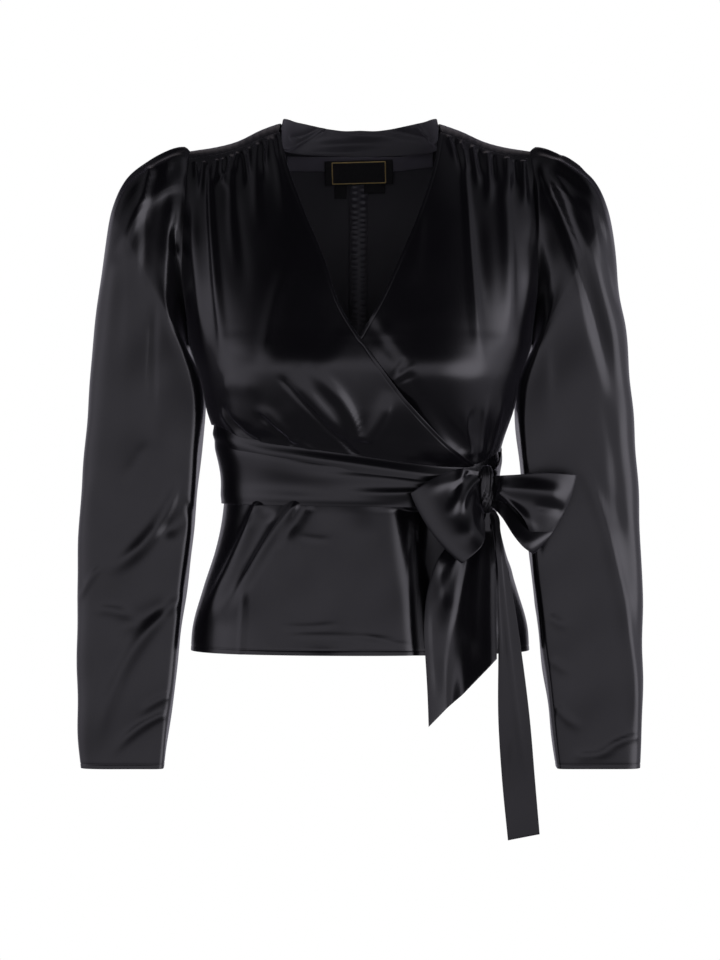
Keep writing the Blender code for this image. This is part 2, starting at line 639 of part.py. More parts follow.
def sleeve_folds(angle, ring):
    total = np.zeros(np.broadcast(angle, ring).shape)
    for fold in SLEEVE_FOLDS:
        away = (angle - fold.turn - fold.drift * (ring - fold.ring) + math.pi) % (2 * math.pi) - math.pi
        total += fold.height * np.exp(-((away / fold.width) ** 2) - ((ring - fold.ring) / fold.spread) ** 2)
    return total


def clear_of_body(points):
    """Points of a sleeve, moved aside where they would come too near the body."""
    depth = np.where(points[..., 1] < 0, *read(SECTIONS, "height", points[..., 2], "front", "back"))
    width, square = read(SECTIONS, "height", points[..., 2], "half_width", "square")
    reach = width * np.clip(1 - (np.abs(points[..., 1]) / depth) ** square, 0, 1) ** (1 / square)
    near = np.maximum(points[..., 0], reach + SLEEVE_CLEARANCE)
    across = np.where(points[..., 2] < UNDERARM - 0.001, near, points[..., 0])
    return np.stack([across, points[..., 1], points[..., 2]], axis=-1)


def sleeve(name, side):
    """A sleeve, gathered into the armhole and hanging in folds down to an open cuff."""
    angle = round_the_sleeve()[:, None]
    ring = np.arange(len(SLEEVE_RINGS))[None, :]
    inner_x, inner_z, outer_x, outer_z = [column(SLEEVE_RINGS, name) for name in Ring._fields[:4]]
    share = (1 + np.cos(angle)) / 2
    x = inner_x + (outer_x - inner_x) * share
    z = inner_z + (outer_z - inner_z) * share
    climbs = place(np.full(len(angle), 0.1703), inner_z[0] + (outer_z[0] - inner_z[0]) * share[:, 0])[:, 1]
    behind = np.sin(angle[:, 0]) < 0
    hole = hole_edge(LEFT, np.where(behind, 2 - climbs, climbs))
    hole = figure(hole[:, 0], hole[:, 1])
    keep = column(SLEEVE_RINGS, "armhole")
    x = x + keep * (hole[:, 0] + HOLE_GAP - x[:, 0])[:, None]
    z = z + keep * (hole[:, 2] - z[:, 0])[:, None]
    bulge = column(SLEEVE_RINGS, "middle") - np.sin(angle) * column(SLEEVE_RINGS, "bulge")
    y = keep * hole[:, 1][:, None] + (1 - keep) * bulge
    head = np.clip(np.abs((angle + math.pi) % (2 * math.pi) - math.pi) / HEAD_SPREAD, 0, 1)
    ripple = 0.5 - 0.5 * np.cos(math.pi * HEAD_GATHERS * (angle / HEAD_SPREAD + 1))
    stand = HEAD_GATHER_HEIGHT * ripple * np.where(head < 1, 1 - ramp(head, 0.85, 1.0), 0)
    stand = stand * column(SLEEVE_RINGS, "gather") + sleeve_folds(angle, ring)
    line = np.stack([outer_x - inner_x, 0 * inner_x, outer_z - inner_z], axis=-1)
    line /= np.linalg.norm(line, axis=-1, keepdims=True)
    away = np.cos(angle)[..., None] * line - np.sin(angle)[..., None] * np.array([0.0, 1.0, 0.0])
    grid = clear_of_body(np.stack([x, y, z], axis=-1) + stand[..., None] * away)
    grid = grid if side == LEFT else (grid * np.array([-1.0, 1.0, 1.0]))[::-1]
    cloth(name, grid, walled(grid, WALL, True), around=True)


def sash(name, rows, count, behind):
    """One part of the sash, round the figure from the right side to the knot."""
    turns = np.linspace(rows[0].turn, rows[-1].turn, count)
    top, bottom, forward = read(rows, "turn", turns, "top", "bottom", "forward")
    share = np.linspace(0, 1, 4)
    height = top[:, None] + (bottom - top)[:, None] * share
    climb = (height - UNDERARM) / LOWER_SPAN
    around = turns > 90
    turn = np.where(around, 180 - turns, turns)[:, None] + 0 * share
    turn = np.clip(turn, -SIDE_TURN + 0.03, SIDE_TURN - 0.01)
    back_part = (behind & ~around)[:, None] if behind else np.zeros((count, 1), bool)
    climb = np.where(back_part, 2 - climb, climb)
    outer = lifted(turn, climb, np.full(turn.shape, SASH_LIFT))
    inner = lifted(turn, climb, np.full(turn.shape, SASH_LIFT - SASH_WALL))
    shift = np.array([0.0, -1.0, 0.0]) * forward[:, None, None]
    flip = slice(None, None, 1 if behind else -1)
    cloth(name, (outer + shift)[flip], (inner + shift)[flip])


def knot():
    """The knot: cloth wrapped into a tight roll, with folds that run up and down it."""
    around, up = np.meshgrid(np.linspace(0, 2 * math.pi, 29)[:-1], np.linspace(-1, 1, 11), indexing="ij")
    bulge = np.clip(1 - np.abs(up * 0.97) ** 3.5, 0, 1) ** 0.4
    folds = 1 + KNOT_FOLD_HEIGHT * np.cos(2 * KNOT_FOLDS * around + 1.5 * up)
    x = KNOT.x + KNOT.half_width * np.cos(around) * bulge * folds
    y = KNOT.y + KNOT.half_depth * np.sin(around) * bulge * folds
    grid = np.stack([x, y, KNOT.z + KNOT.half_height * up], axis=-1)
    number = np.arange(28 * 11).reshape(28, 11)
    after = np.roll(number, -1, axis=0)
    foot = np.stack([after[:, 0], number[:, 0], np.full(28, number.size)], axis=-1)
    head = np.stack([number[:, -1], after[:, -1], np.full(28, number.size + 1)], axis=-1)
    ends = np.stack([grid[:, 0].mean(axis=0), grid[:, -1].mean(axis=0)])
    faces = np.concatenate([triangles(grid, True), foot, head])
    add("bow_knot", np.concatenate([grid.reshape(-1, 3), ends]), faces, SATIN)


def loop(name, rows, side):
    """A bow loop: the ribbon runs out from the knot, folds over and comes back behind."""
    angle = np.linspace(0.05, math.pi - 0.05, 23)
    reach = np.sin(angle) ** 0.8
    out = (reach - reach[0]) / (1 - reach[0])
    across_share = np.linspace(0, 1, 6)
    names = ("top_x", "top_z", "bottom_x", "bottom_z", "y")
    top_x, top_z, bottom_x, bottom_z, y = read(rows, "out", out, *names)
    x = top_x[:, None] + (bottom_x - top_x)[:, None] * across_share
    z = top_z[:, None] + (bottom_z - top_z)[:, None] * across_share
    gap = LOOP_GAP * (LOOP_ROOT_SHARE + (1 - LOOP_ROOT_SHARE) * out) * np.cos(angle)
    y = (y - gap)[:, None] + 0 * across_share
    grid = np.stack([x, y, z], axis=-1)
    grid = grid[::-1] if side == LEFT else grid
    cloth(name, grid, walled(grid, WALL))


def tail(name, rows, slant, counts):
    """A tail of the bow, hanging in front of the peplum, with its end cut on a slant."""
    top, bottom = rows[0].height, rows[-1].height
    down, over = np.meshgrid(*[np.linspace(0, 1, count) for count in counts], indexing="ij")
    height = top + (bottom - top) * down
    left, right, depth = read(rows, "height", height, "left", "right", "depth")
    x = left + (right - left) * over
    z = height + slant * (1 - over) * down**6
    width, front_depth, square = read(SECTIONS, "height", z, "half_width", "front", "square")
    body = front_depth * np.clip(1 - (np.abs(x) / width) ** square, 0, 1) ** (1 / square)
    grid = np.stack([x, -np.maximum(depth, body + TAIL_CLEARANCE), z], axis=-1)
    grid = grid[::-1].swapaxes(0, 1)
    cloth(name, grid, walled(grid, WALL))


def clear_scene():
    for old in list(bpy.data.objects):
        bpy.data.objects.remove(old)


clear_scene()
HALVES = (("right", RIGHT), ("left", LEFT))
front("right_front", RIGHT, RIGHT_EDGE, over_lift, BODICE_TUCKS)
front("left_front", LEFT, LEFT_EDGE, under_drop, ())
for word, side in HALVES:
    yoke(word + "_yoke", side)
    back(word + "_back", side)
    sleeve(word + "_sleeve", side)
neck_band()
neck_tape()
hung("label", LABEL, LABEL_WALL, WOVEN_LABEL)
hung("size_tab", SIZE_TAB, LABEL_WALL, WOVEN_LABEL, 3)
hung("care_tab", CARE_TAB, LABEL_WALL, WOVEN_LABEL, 3)
band, skirt = (0.0, BAND_HEIGHT), (BAND_HEIGHT + 2 * SEAM_GAP, 1.0)
right_end, left_end = RIGHT_EDGE_BELOW, LEFT_EDGE_BELOW
below_waist("right_front_waistband", RIGHT, (right_end[0],) * 2, FRONT_WAIST, band, (25, 3), over_lift)
below_waist("left_front_waistband", LEFT, (left_end[0],) * 2, FRONT_WAIST, band, (17, 3), under_drop)
below_waist("right_front_peplum", RIGHT, right_end, FRONT_WAIST, skirt, (25, 8), over_lift, PEPLUM_FOLDS)
below_waist("left_front_peplum", LEFT, left_end, FRONT_WAIST, skirt, (17, 6), under_drop)
for word, side in HALVES:
    middle = BACK_SEAM_ACROSS + side * SEAM_GAP / 2
    below_waist(word + "_back_waistband", side, (middle,) * 2, BACK_WAIST, band, (13, 3), no_lift, (), True)
    ends, counts = (middle,) * 2, (13, 7)
    below_waist(word + "_back_peplum", side, ends, BACK_WAIST, skirt, counts, no_lift, BACK_FOLDS, True)
sash("sash_front", SASH_FRONT, 19, False)
sash("sash_back", SASH_BACK, 27, True)
knot()
loop("bow_loop_right", RIGHT_LOOP, RIGHT)
loop("bow_loop_left", LEFT_LOOP, LEFT)
tail("wide_tail", WIDE_TAIL, WIDE_TAIL_SLANT, (12, 6))
tail("narrow_tail", NARROW_TAIL, NARROW_TAIL_SLANT, (13, 4))
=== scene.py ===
"""Looks of the satin wrap top: each piece of cloth as a fine sheet on the form of its own solid.

Metres, +Z up, the front faces -Y, and right and left are the wearer's. The sections follow the top as
it is sewn: back, shoulders, fronts, neck, label, sleeves, waist, peplum, sash, bow, then the studio.
"""

import math

import bpy
import numpy as np
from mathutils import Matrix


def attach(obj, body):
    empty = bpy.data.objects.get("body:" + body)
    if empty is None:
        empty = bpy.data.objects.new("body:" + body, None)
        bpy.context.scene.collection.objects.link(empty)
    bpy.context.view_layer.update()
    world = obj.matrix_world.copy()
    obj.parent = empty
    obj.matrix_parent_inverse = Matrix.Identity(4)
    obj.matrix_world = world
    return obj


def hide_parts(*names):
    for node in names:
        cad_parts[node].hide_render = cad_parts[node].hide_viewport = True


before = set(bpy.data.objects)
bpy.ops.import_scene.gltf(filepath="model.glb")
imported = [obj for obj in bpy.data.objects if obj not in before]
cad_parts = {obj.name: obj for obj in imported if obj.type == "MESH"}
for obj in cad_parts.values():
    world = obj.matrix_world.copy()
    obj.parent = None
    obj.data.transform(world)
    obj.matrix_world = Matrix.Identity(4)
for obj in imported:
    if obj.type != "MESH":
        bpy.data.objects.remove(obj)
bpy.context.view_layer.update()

# ---- The back. Two panels of black satin, shiny side out, sewn together down the middle and
# ---- shaped by four long folds where the cloth gives at the waist. Seam edges turn inwards.

RIGHT, LEFT = -1.0, 1.0
SIDES = (("right", RIGHT), ("left", LEFT))
CLOTH = 0.0009  # what shows as the thickness of the turned edges
EDGE = np.array([0.0, 0.0001, 0.0003, 0.00045])  # rows that carry the turn of an edge
SIDE_TURN, UNDERARM, HEM, LOWER_SPAN = 89.95, -0.205, -0.5095, 0.24

# height, half width, depth in front, depth behind, squareness
SECTIONS = np.array((
    (-0.5095, 0.169, 0.113, 0.117, 2.2), (-0.488, 0.1675, 0.1115, 0.115, 2.2),
    (-0.45, 0.157, 0.106, 0.107, 2.25), (-0.41, 0.1445, 0.0995, 0.094, 2.3),
    (-0.37, 0.1365, 0.095, 0.084, 2.3), (-0.34, 0.1345, 0.094, 0.081, 2.3),
    (-0.305, 0.1415, 0.1, 0.085, 2.35), (-0.27, 0.1522, 0.114, 0.093, 2.45),
    (-0.235, 0.1595, 0.1235, 0.0995, 2.5), (-0.205, 0.17, 0.121, 0.103, 2.5)))
# climb, half width
SHOULDER_WIDTHS = np.array(((0, 0.17), (0.06, 0.1742), (0.12, 0.1788), (0.3, 0.189), (1, 0.193)))
# across, height of the ridge over the shoulders
RIDGE = np.array((
    (0, 0.026), (0.06, 0.02), (0.078, 0.0165), (0.098, 0.0095), (0.122, -0.0015), (0.145, -0.0078),
    (0.172, -0.012)))
# height, across
ARMHOLE = np.array((
    (-0.205, 0.17), (-0.185, 0.1712), (-0.15, 0.1745), (-0.11, 0.175), (-0.06, 0.1735), (-0.03, 0.1715),
    (-0.012, 0.17)))
# share of half the neckline, across, climb, height of the band on it
NECK = np.array((
    (0, 0.0797, 0.835, 0.0036), (0.16, 0.079, 1, 0.005), (0.34, 0.0715, 1.14, 0.01),
    (0.52, 0.058, 1.23, 0.0155), (0.7, 0.038, 1.302, 0.021), (0.86, 0.018, 1.34, 0.024),
    (1, 0, 1.348, 0.0247)))
BACK_WAIST = np.array(((-0.145, -0.285), (0, -0.292), (0.137, -0.312)))
YOKE_ACROSS, YOKE_CLIMB, BACK_SEAM, SEAM_GAP = 0.0715, 1.140, -0.0115, -0.0001
BUST = (0.082, -0.242, 0.055, 0.006)  # across, height, radius, rise
FRONT_CAP, BACK_CAP = 1.35, 3.75  # how full the body stays up to the ridge


def curve(x, table, column=1):
    """A smooth curve through the rows of a table: on each span a cubic whose end slopes are the
    central differences of the rows."""
    table = table[np.argsort(table[:, 0])]
    at, values = table[:, 0], table[:, column]
    slopes = np.gradient(values, at)
    x = np.clip(x, at[0], at[-1])
    k = np.clip(np.searchsorted(at, x) - 1, 0, len(at) - 2)
    span = at[k + 1] - at[k]
    t, rise = (x - at[k]) / span, values[k + 1] - values[k]
    first, last = slopes[k] * span, slopes[k + 1] * span
    return values[k] + t * (first + t * (3 * rise - 2 * first - last + t * (first + last - 2 * rise)))


def ramp(x, low, high):
    """0 below low, 1 above high, and 3t^2 - 2t^3 between."""
    t = np.clip((x - low) / (high - low), 0.0, 1.0)
    return t * t * (3 - 2 * t)


def lower_height(climb):
    """The height of a place below the underarm, where the climb is under 0."""
    return UNDERARM + LOWER_SPAN * np.minimum(climb, 0)


def lower_climb(height):
    return (height - UNDERARM) / LOWER_SPAN


def half_width(climb):
    below = curve(lower_height(climb), SECTIONS)
    return np.where(climb < 0, below, curve(np.clip(climb, 0, 1), SHOULDER_WIDTHS))


def unit(vectors):
    return vectors / np.linalg.norm(vectors, axis=-1, keepdims=True)


def together(*parts):
    """Points or places from their parts, each of which may be the same for many of them."""
    return np.stack(np.broadcast_arrays(*parts), axis=-1)


def figure(turn, climb):
    """Points of the body that fills the top: superellipses across, |x/w|^n + |y/d|^n = 1, which lean
    over to the ridge of the shoulders as the climb goes from 0 to 1, and down the back up to 2."""
    turn, climb = np.broadcast_arrays(np.radians(turn), climb)
    behind = climb > 1
    climb = np.where(behind, 2 - climb, climb)
    height = lower_height(climb)
    square = curve(height, SECTIONS, 4)
    across = half_width(climb) * np.sign(turn) * np.abs(np.sin(turn)) ** (2 / square)
    lean = np.sin(np.clip(climb, 0, 1) * math.pi / 2)
    cap = np.sqrt(np.clip(1 - lean ** np.where(behind, BACK_CAP, FRONT_CAP), 0.0, 1.0))
    depth = np.where(behind, curve(height, SECTIONS, 3), -curve(height, SECTIONS, 2))
    y = depth * np.abs(np.cos(turn)) ** (2 / square) * cap
    z = np.where(climb < 0, height, UNDERARM + lean * (curve(np.abs(across), RIDGE) - UNDERARM))
    away = np.hypot(np.abs(across) - BUST[0], z - BUST[1]) / BUST[2]
    return together(across, y - np.where(behind, 0.0, BUST[3] * np.exp(-(away**2))), z)


def lifted(turn, climb, lift):
    """Points of the body moved along its normal, the cross product of two small steps on it."""
    step = np.where(turn > 0, -0.06, 0.06)
    here = figure(turn, climb)
    aside = (figure(turn + step, climb) - here) * np.sign(step)[..., None]
    normal = unit(np.cross(aside, here - figure(turn, climb - 0.001)))
    return here + normal * np.asarray(lift)[..., None]


def turn_at(across, climb):
    """The turn at which the body is as far across: arcsin of (x/w)^(n/2)."""
    climb = np.where(np.asarray(climb) > 1, 2 - climb, climb)
    square = curve(lower_height(climb), SECTIONS, 4)
    share = np.clip(np.abs(across) / half_width(climb), 0.0, 1.0)
    return np.degrees(np.arcsin(share ** (square / 2))) * np.sign(across)


def at_climb(across, climb):
    """The turn and the climb of a place given by its distance across and its climb."""
    return together(turn_at(across, climb), climb)


def place(across, height, behind=False):
    """The turn and the climb of a place given by its distance across and its height."""
    across, height = np.broadcast_arrays(across, height)
    lean = np.clip((height - UNDERARM) / (curve(np.abs(across), RIDGE) - UNDERARM), 0.0, 1.0)
    climb = np.where(height < UNDERARM, lower_climb(height), np.arcsin(lean) * 2 / math.pi)
    return together(turn_at(across, climb), 2 - climb if behind else climb)


def stations(length, spacing, start=EDGE, end=EDGE):
    """Rows of a grid as share + near/length - far/length: evenly spaced rows between the rows at set
    distances from the start and from the end. The last item is how full the cloth is at each row,
    sqrt(1 - (1 - d/r)^2) over the turn of its edge."""
    u = np.linspace(0, 1, max(int(round(length / spacing)), 2) + 1)
    share = np.concatenate([0 * start[:-1], u, 1 + 0 * end[:-1]])
    near = np.concatenate([start[:-1], start[-1] * (1 - u), 0 * end[:-1]])
    far = np.concatenate([0 * start[:-1], end[-1] * u, end[-2::-1]])
    away = np.where(share == 0, near, np.where(share == 1, far, 1.0))
    return share, near, far, np.sqrt(1 - (1 - np.clip(away / EDGE[-1], 0, 1)) ** 2)


def surface(edges, s, t):
    """Turns and climbs inside four edges, a Coons patch: the two ruled surfaces less the corners."""
    first, last, start, end = [
        together(*[np.interp(at, np.linspace(0, 1, len(edge)), edge[:, k]) for k in (0, 1)])
        for edge, at in zip(edges, (s, s, t, t))]
    s, t = s[..., None], t[..., None]
    near, far = [(1 - t) * edges[0][at] + t * edges[1][at] for at in (0, -1)]
    corners = (1 - s) * near + s * far
    return (1 - t) * first + t * last + (1 - s) * start + s * end - corners


def reach(edges, at, along, shares):
    """The length that a whole share stands for next to an edge, measured square to the edge."""
    t = np.linspace(0, 1, 61)
    here, there = [figure(*np.moveaxis(surface(edges, s + 0 * t, t), -1, 0)) for s in (at, along)]
    run = unit(np.gradient(here, axis=0))
    step = (there - here) / abs(along - at)
    square = np.linalg.norm(step - (step * run).sum(-1, keepdims=True) * run, axis=-1)
    return np.interp(shares, t, square)


def laid_out(edges, rows, columns):
    """The grid of turns and climbs of a panel, with its rows at true distances from its edges."""
    edges = [np.array(edge, float) for edge in edges]
    first, last, start, end = edges
    first[0], first[-1], last[0], last[-1] = start[0], end[0], start[-1], end[-1]
    swapped = [start, end, first, last]
    low, high = [reach(edges, at, along, columns[0]) for at, along in ((0.0, 0.02), (1.0, 0.98))]
    s = rows[0][:, None] + rows[1][:, None] / low - rows[2][:, None] / high
    low, high = [reach(swapped, at, along, rows[0]) for at, along in ((0.0, 0.02), (1.0, 0.98))]
    t = columns[0] + columns[1] / low[:, None] - columns[2] / high[:, None]
    return surface(edges, s, t)


def new_look(name):
    """A new material and its tree of nodes."""
    material = bpy.data.materials.new(name)
    material.use_nodes = True
    return material, material.node_tree


def settled(node, **inputs):
    """A node with its inputs set. In their names an underscore stands for a space."""
    for word, value in inputs.items():
        node.inputs[word.replace("_", " ")].default_value = value
    return node


def new_node(tree, kind, **inputs):
    return settled(tree.nodes.new("ShaderNode" + kind), **inputs)


def joined(tree, *links):
    """Links made in a tree, each from a node and its output to another node and its input."""
    for giver, output, taker, socket in links:
        tree.links.new(giver.outputs[output], taker.inputs[socket])


def satin(name, base, roughness, weave, streak):
    """Cloth whose roughness and height vary in streaks along the warp and in a fine diagonal weave.
    Reads the sheet's own map, which is in metres along the cloth."""
    material, tree = new_look(name)
    shader = settled(
        tree.nodes["Principled BSDF"], Base_Color=base, Specular_IOR_Level=0.5, Sheen_Weight=0.24,
        Sheen_Roughness=0.35, Sheen_Tint=(0.90, 0.87, 1.0, 1.0))
    coords, stretched = new_node(tree, "UVMap"), new_node(tree, "Mapping", Scale=(900, 90, 1))
    coords.uv_map = "cloth"
    streaks = new_node(tree, "TexNoise", Scale=1.0, Detail=3.0)
    clouds = new_node(tree, "TexNoise", Scale=26.0, Detail=2.0)
    threads = new_node(tree, "TexWave", Scale=700.0, Distortion=0.6)
    threads.wave_type, threads.bands_direction = "BANDS", "DIAGONAL"
    both = new_node(tree, "Math")
    both.operation = "ADD"
    level = new_node(
        tree, "MapRange", From_Min=0.6, From_Max=1.4, To_Min=roughness - 0.035, To_Max=roughness + 0.035)
    fine = new_node(tree, "Bump", Strength=weave, Distance=0.00006)
    long = new_node(tree, "Bump", Strength=streak, Distance=0.00010)
    joined(
        tree, (coords, "UV", stretched, "Vector"), (coords, "UV", clouds, "Vector"),
        (coords, "UV", threads, "Vector"), (stretched, 0, streaks, "Vector"), (streaks, "Fac", both, 0),
        (clouds, "Fac", both, 1), (both, 0, level, "Value"), (level, 0, shader, "Roughness"),
        (threads, "Fac", fine, "Height"), (streaks, "Fac", long, "Height"), (fine, 0, long, "Normal"),
        (long, 0, shader, "Normal"))
    return material


FACE = satin("satin_face", (0.0031, 0.0029, 0.0038, 1.0), 0.225, 0.08, 0.01)
WRONG_SIDE = satin("satin_wrong_side", (0.0300, 0.0292, 0.0335, 1.0), 0.58, 0.40, 0.12)


def cells(number, around=False):
    """The corners of the cells of a grid of numbers, which may close round on itself."""
    number = np.vstack([number, number[:1]]) if around else number
    corners = (number[:-1, :-1], number[1:, :-1], number[1:, 1:], number[:-1, 1:])
    return np.stack(corners, axis=-1).reshape(-1, 4)


def mesh_of(name, points, faces, looks):
    mesh = bpy.data.meshes.new(name)
    mesh.from_pydata(points.reshape(-1, 3).tolist(), [], faces)
    for look in looks:
        mesh.materials.append(look)
    return mesh


def riding(mesh, solid=None):
    """The piece of a finished mesh. It rides on the body and stands for a solid if one is named."""
    mesh.shade_smooth()
    piece = bpy.data.objects.new(mesh.name, mesh)
    bpy.context.scene.collection.objects.link(piece)
    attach(piece, "root")
    if solid:
        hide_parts(solid)
    return piece


def sheet(name, outer, inner, looks=(FACE, WRONG_SIDE), tube=False, solid=True, slot=None, cut=None):
    """A closed sheet between two grids of points, which share the points of their open edges, with lengths
    along the cloth as its map. The cut is its width, its length, how it is held and, where it isn't a
    rectangle, its area; it is not used."""
    rows, columns = outer.shape[:2]
    front = np.arange(rows * columns).reshape(rows, columns)
    back = front + rows * columns
    if not tube:
        back[[0, -1]] = front[[0, -1]]
    back[:, [0, -1]] = front[:, [0, -1]]
    points = np.concatenate([outer.reshape(-1, 3), inner.reshape(-1, 3)])
    faces = np.concatenate([cells(front, tube), cells(back, tube)[:, ::-1]])
    used, numbers = np.unique(faces, return_inverse=True)
    wrapped = np.concatenate([outer, outer[:1]]) if tube else outer
    u, v = [
        np.append(0, np.cumsum(np.linalg.norm(np.diff(grid, axis=way), axis=-1).mean(axis=1 - way)))
        for grid, way in ((wrapped, 0), (outer, 1))]
    lengths = np.stack(np.meshgrid(u, v, indexing="ij"), axis=-1).reshape(-1, 2)
    corner = lengths[cells(np.arange(len(lengths)).reshape(len(u), len(v)))]
    mesh = mesh_of(name + "_cloth", points[used], numbers.reshape(-1, 4).tolist(), looks)
    mesh.uv_layers.new(name="cloth").data.foreach_set("uv", np.concatenate([corner, corner[:, ::-1]]).ravel())
    mesh.polygons.foreach_set("material_index", np.repeat([0, len(looks) - 1], [len(corner)] * 2))
    piece = riding(mesh, name if solid else None)
    return piece


def seen(points):
    """Where points lie across and up for an eye three metres in front, in millimetres. The folds of
    all that hangs in front are laid out in this plane."""
    near = 3000 / (3 + points[..., 1])
    return points[..., 0] * near, -340 + (points[..., 2] + 0.340) * near


def flat(points):
    """Where points lie across and up, in millimetres."""
    return points[..., 0] * 1000, points[..., 2] * 1000


def creases(where, rows):
    """Soft folds over the cloth, in metres. A row is x0 z0 x1 z1 bow wide spread high lean in out, in
    millimetres and shares: across the line from one end to the other, bent aside by the bow, the
    height is high * exp(-u^2) * (1 + lean * u), and it fades in and out at the ends."""
    x, z = where
    total = np.zeros(x.shape)
    for x0, z0, x1, z1, bow, wide, spread, high, lean, fade_in, fade_out in rows:
        length = math.hypot(x1 - x0, z1 - z0)
        along, out = ((x1 - x0) / length, (z1 - z0) / length)
        run = ((x - x0) * along + (z - z0) * out) / length
        share = np.clip(run, 0, 1)
        aside = (x - x0) * out - (z - z0) * along - 4 * bow * share * (1 - share)
        u = aside / (wide * (1 + (spread - 1) * share))
        ends = ramp(run, -0.02, fade_in) * (1 - ramp(run, 1 - fade_out, 1.02))
        total += high * np.exp(-(u**2)) * (1 + lean * u) * ends
    return total * 0.001


def uneven(points, size=0.00022):
    """What cloth has between its folds: the sum of six slow sine waves across the sheet."""
    waves = np.array((
        (61, 17, 33, 0.4), (-43, 29, 71, 1.9), (23, -57, -49, 3.1), (97, 41, 12, 4.4), (-31, 83, 90, 5.2),
        (119, -23, -66, 0.9)))
    return size * np.sin(points @ waves[:, :3].T + waves[:, 3]).mean(axis=-1) * 2


def hole_edge(side, climbs):
    """The armhole at the given climbs."""
    climb = np.where(climbs > 1, 2 - climbs, climbs)
    height = UNDERARM + np.sin(climb * math.pi / 2) * (ARMHOLE[-1, 0] - UNDERARM)
    return at_climb(curve(height, ARMHOLE) * side, climbs)


def side_edge(side, low, count, behind=False):
    """The side seam from the underarm down to a height."""
    climb = np.linspace(0.0, lower_climb(low), count)
    return together(SIDE_TURN * side, 2 - climb if behind else climb)


def level_edge(side, end, heights, drop, behind=False, count=61):
    """An edge below the underarm from a side seam to a place across, as far below a table of heights."""
    end_height = curve(end, heights) - drop
    turns = np.linspace(SIDE_TURN * side, place(end, end_height)[0], count)
    climb = np.full(count, lower_climb(end_height))
    for _ in range(5):
        climb = lower_climb(curve(figure(turns, climb)[:, 0], heights) - drop)
    return together(turns, 2 - climb if behind else climb)


def fullness(rows, columns):
    """How much of its wall a sheet has at each point: all of it, but none at its open edges."""
    return rows[3][:, None] * columns[3]


def on_body(name, grid, lift, rows, columns, wall=CLOTH, flip=False, shift=0.0, **kept):
    """A sheet over places of the body, its outer face at their lift and its wall under it. Its rows
    are flipped where it would face inwards."""
    turn, climb, full = grid[..., 0], grid[..., 1], fullness(rows, columns)
    outer, inner = [lifted(turn, climb, lift - wall / 2 * (1 + way * full)) + shift for way in (-1, 1)]
    way = slice(None, None, -1 if flip else 1)
    return sheet(name, outer[way], inner[way], **kept)


def panel(name, side, edges, rows, columns, lift, cut):
    """A sheet on the body inside four edges. The lift is a function of its points and its grid."""
    grid = laid_out(edges, rows, columns)
    height = lift(figure(grid[..., 0], grid[..., 1]), rows, columns)
    return on_body(name, grid, height, rows, columns, flip=side == LEFT, cut=cut)


# Folds of the back, across and up in millimetres as seen from behind the wearer's own right and left.
BACK_FOLDS = (
    (-56, -285, -66, -60, -4, 11, 1.6, 2.2, 0.2, 0.12, 0.75),
    (-98, -290, -118, -120, -5, 10, 1.5, 2, -0.3, 0.1, 0.7),
    (44, -285, 56, -70, 4, 11, 1.6, 2.2, -0.2, 0.12, 0.75),
    (94, -290, 116, -110, 5, 10, 1.5, 2, 0.3, 0.1, 0.7),
    (-128, -230, -60, -262, 6, 7, 1.3, 1.2, 0.4, 0.3, 0.5),
    (126, -236, 62, -258, -6, 7, 1.3, 1.1, 0.4, 0.3, 0.5),
    (-150, -80, -60, -40, 4, 9, 1.4, 1, 0.2, 0.2, 0.6),
    (150, -84, 66, -42, -4, 9, 1.4, 1.1, -0.2, 0.2, 0.6))


def back_lift(points, rows, columns):
    """The folds, and a shallow dip that rounds the back off level with the underarms."""
    dip = np.clip(1 - np.abs(points[..., 2] - UNDERARM) / 0.030, 0, 1) ** 2
    return creases(flat(points), BACK_FOLDS) - 0.00088 * dip + uneven(points)


def back_top(side):
    """The top edge of half the back: the yoke seam, then the neck down to the middle seam."""
    middle = BACK_SEAM + side * SEAM_GAP / 2
    seam = at_climb(side * np.linspace(ARMHOLE[-1, 1], YOKE_ACROSS, 49), YOKE_CLIMB)
    across = np.linspace(YOKE_ACROSS * side, middle, 31)
    return np.concatenate([seam, at_climb(across, curve(np.abs(across), NECK[:, [1, 2]]))[1:]])


for (word, side), cut in zip(SIDES, ((0.186, 0.345, "hung", 0.0560), (0.206, 0.345, "hung", 0.0660))):
    middle = BACK_SEAM + side * SEAM_GAP / 2
    top = back_top(side)
    waist = level_edge(side, middle, BACK_WAIST, -SEAM_GAP, behind=True)
    down = side_edge(side, lower_height(2 - waist[0, 1]), 31, behind=True)
    outer = np.concatenate([hole_edge(side, np.linspace(YOKE_CLIMB, 2, 71)), down[1:]])
    heights = np.linspace(figure(*top[-1])[2], lower_height(2 - waist[-1, 1]), 91)
    inner = place(np.full(91, middle), heights, behind=True)
    rows, columns = stations(0.20, 0.0022), stations(0.30, 0.0023)
    panel(word + "_back", side, (top, waist, outer, inner), rows, columns, back_lift, cut)


# ---- The shoulders. A narrow yoke of satin lies over each shoulder, and the fuller fronts are
# ---- gathered into its front edge. The seam is turned under, so the yoke's edge shows as a roll.

# across, height, from the armhole to the neck
SHOULDER_SEAM = np.array((
    (0.17, -0.021), (0.154, -0.019), (0.134, -0.015), (0.118, -0.01), (0.1, -0.0025), (0.0797, 0.005)))


def run_along(x, y):
    """The length run at each point of a flat path."""
    return np.append(0, np.cumsum(np.hypot(np.diff(x), np.diff(y))))


def along_line(points, t):
    """Places at the shares t of the length of the smooth curve through the points."""
    length = run_along(*points.T)
    rows = np.column_stack([length / length[-1], points])
    return curve(t, rows, 1), curve(t, rows, 2)


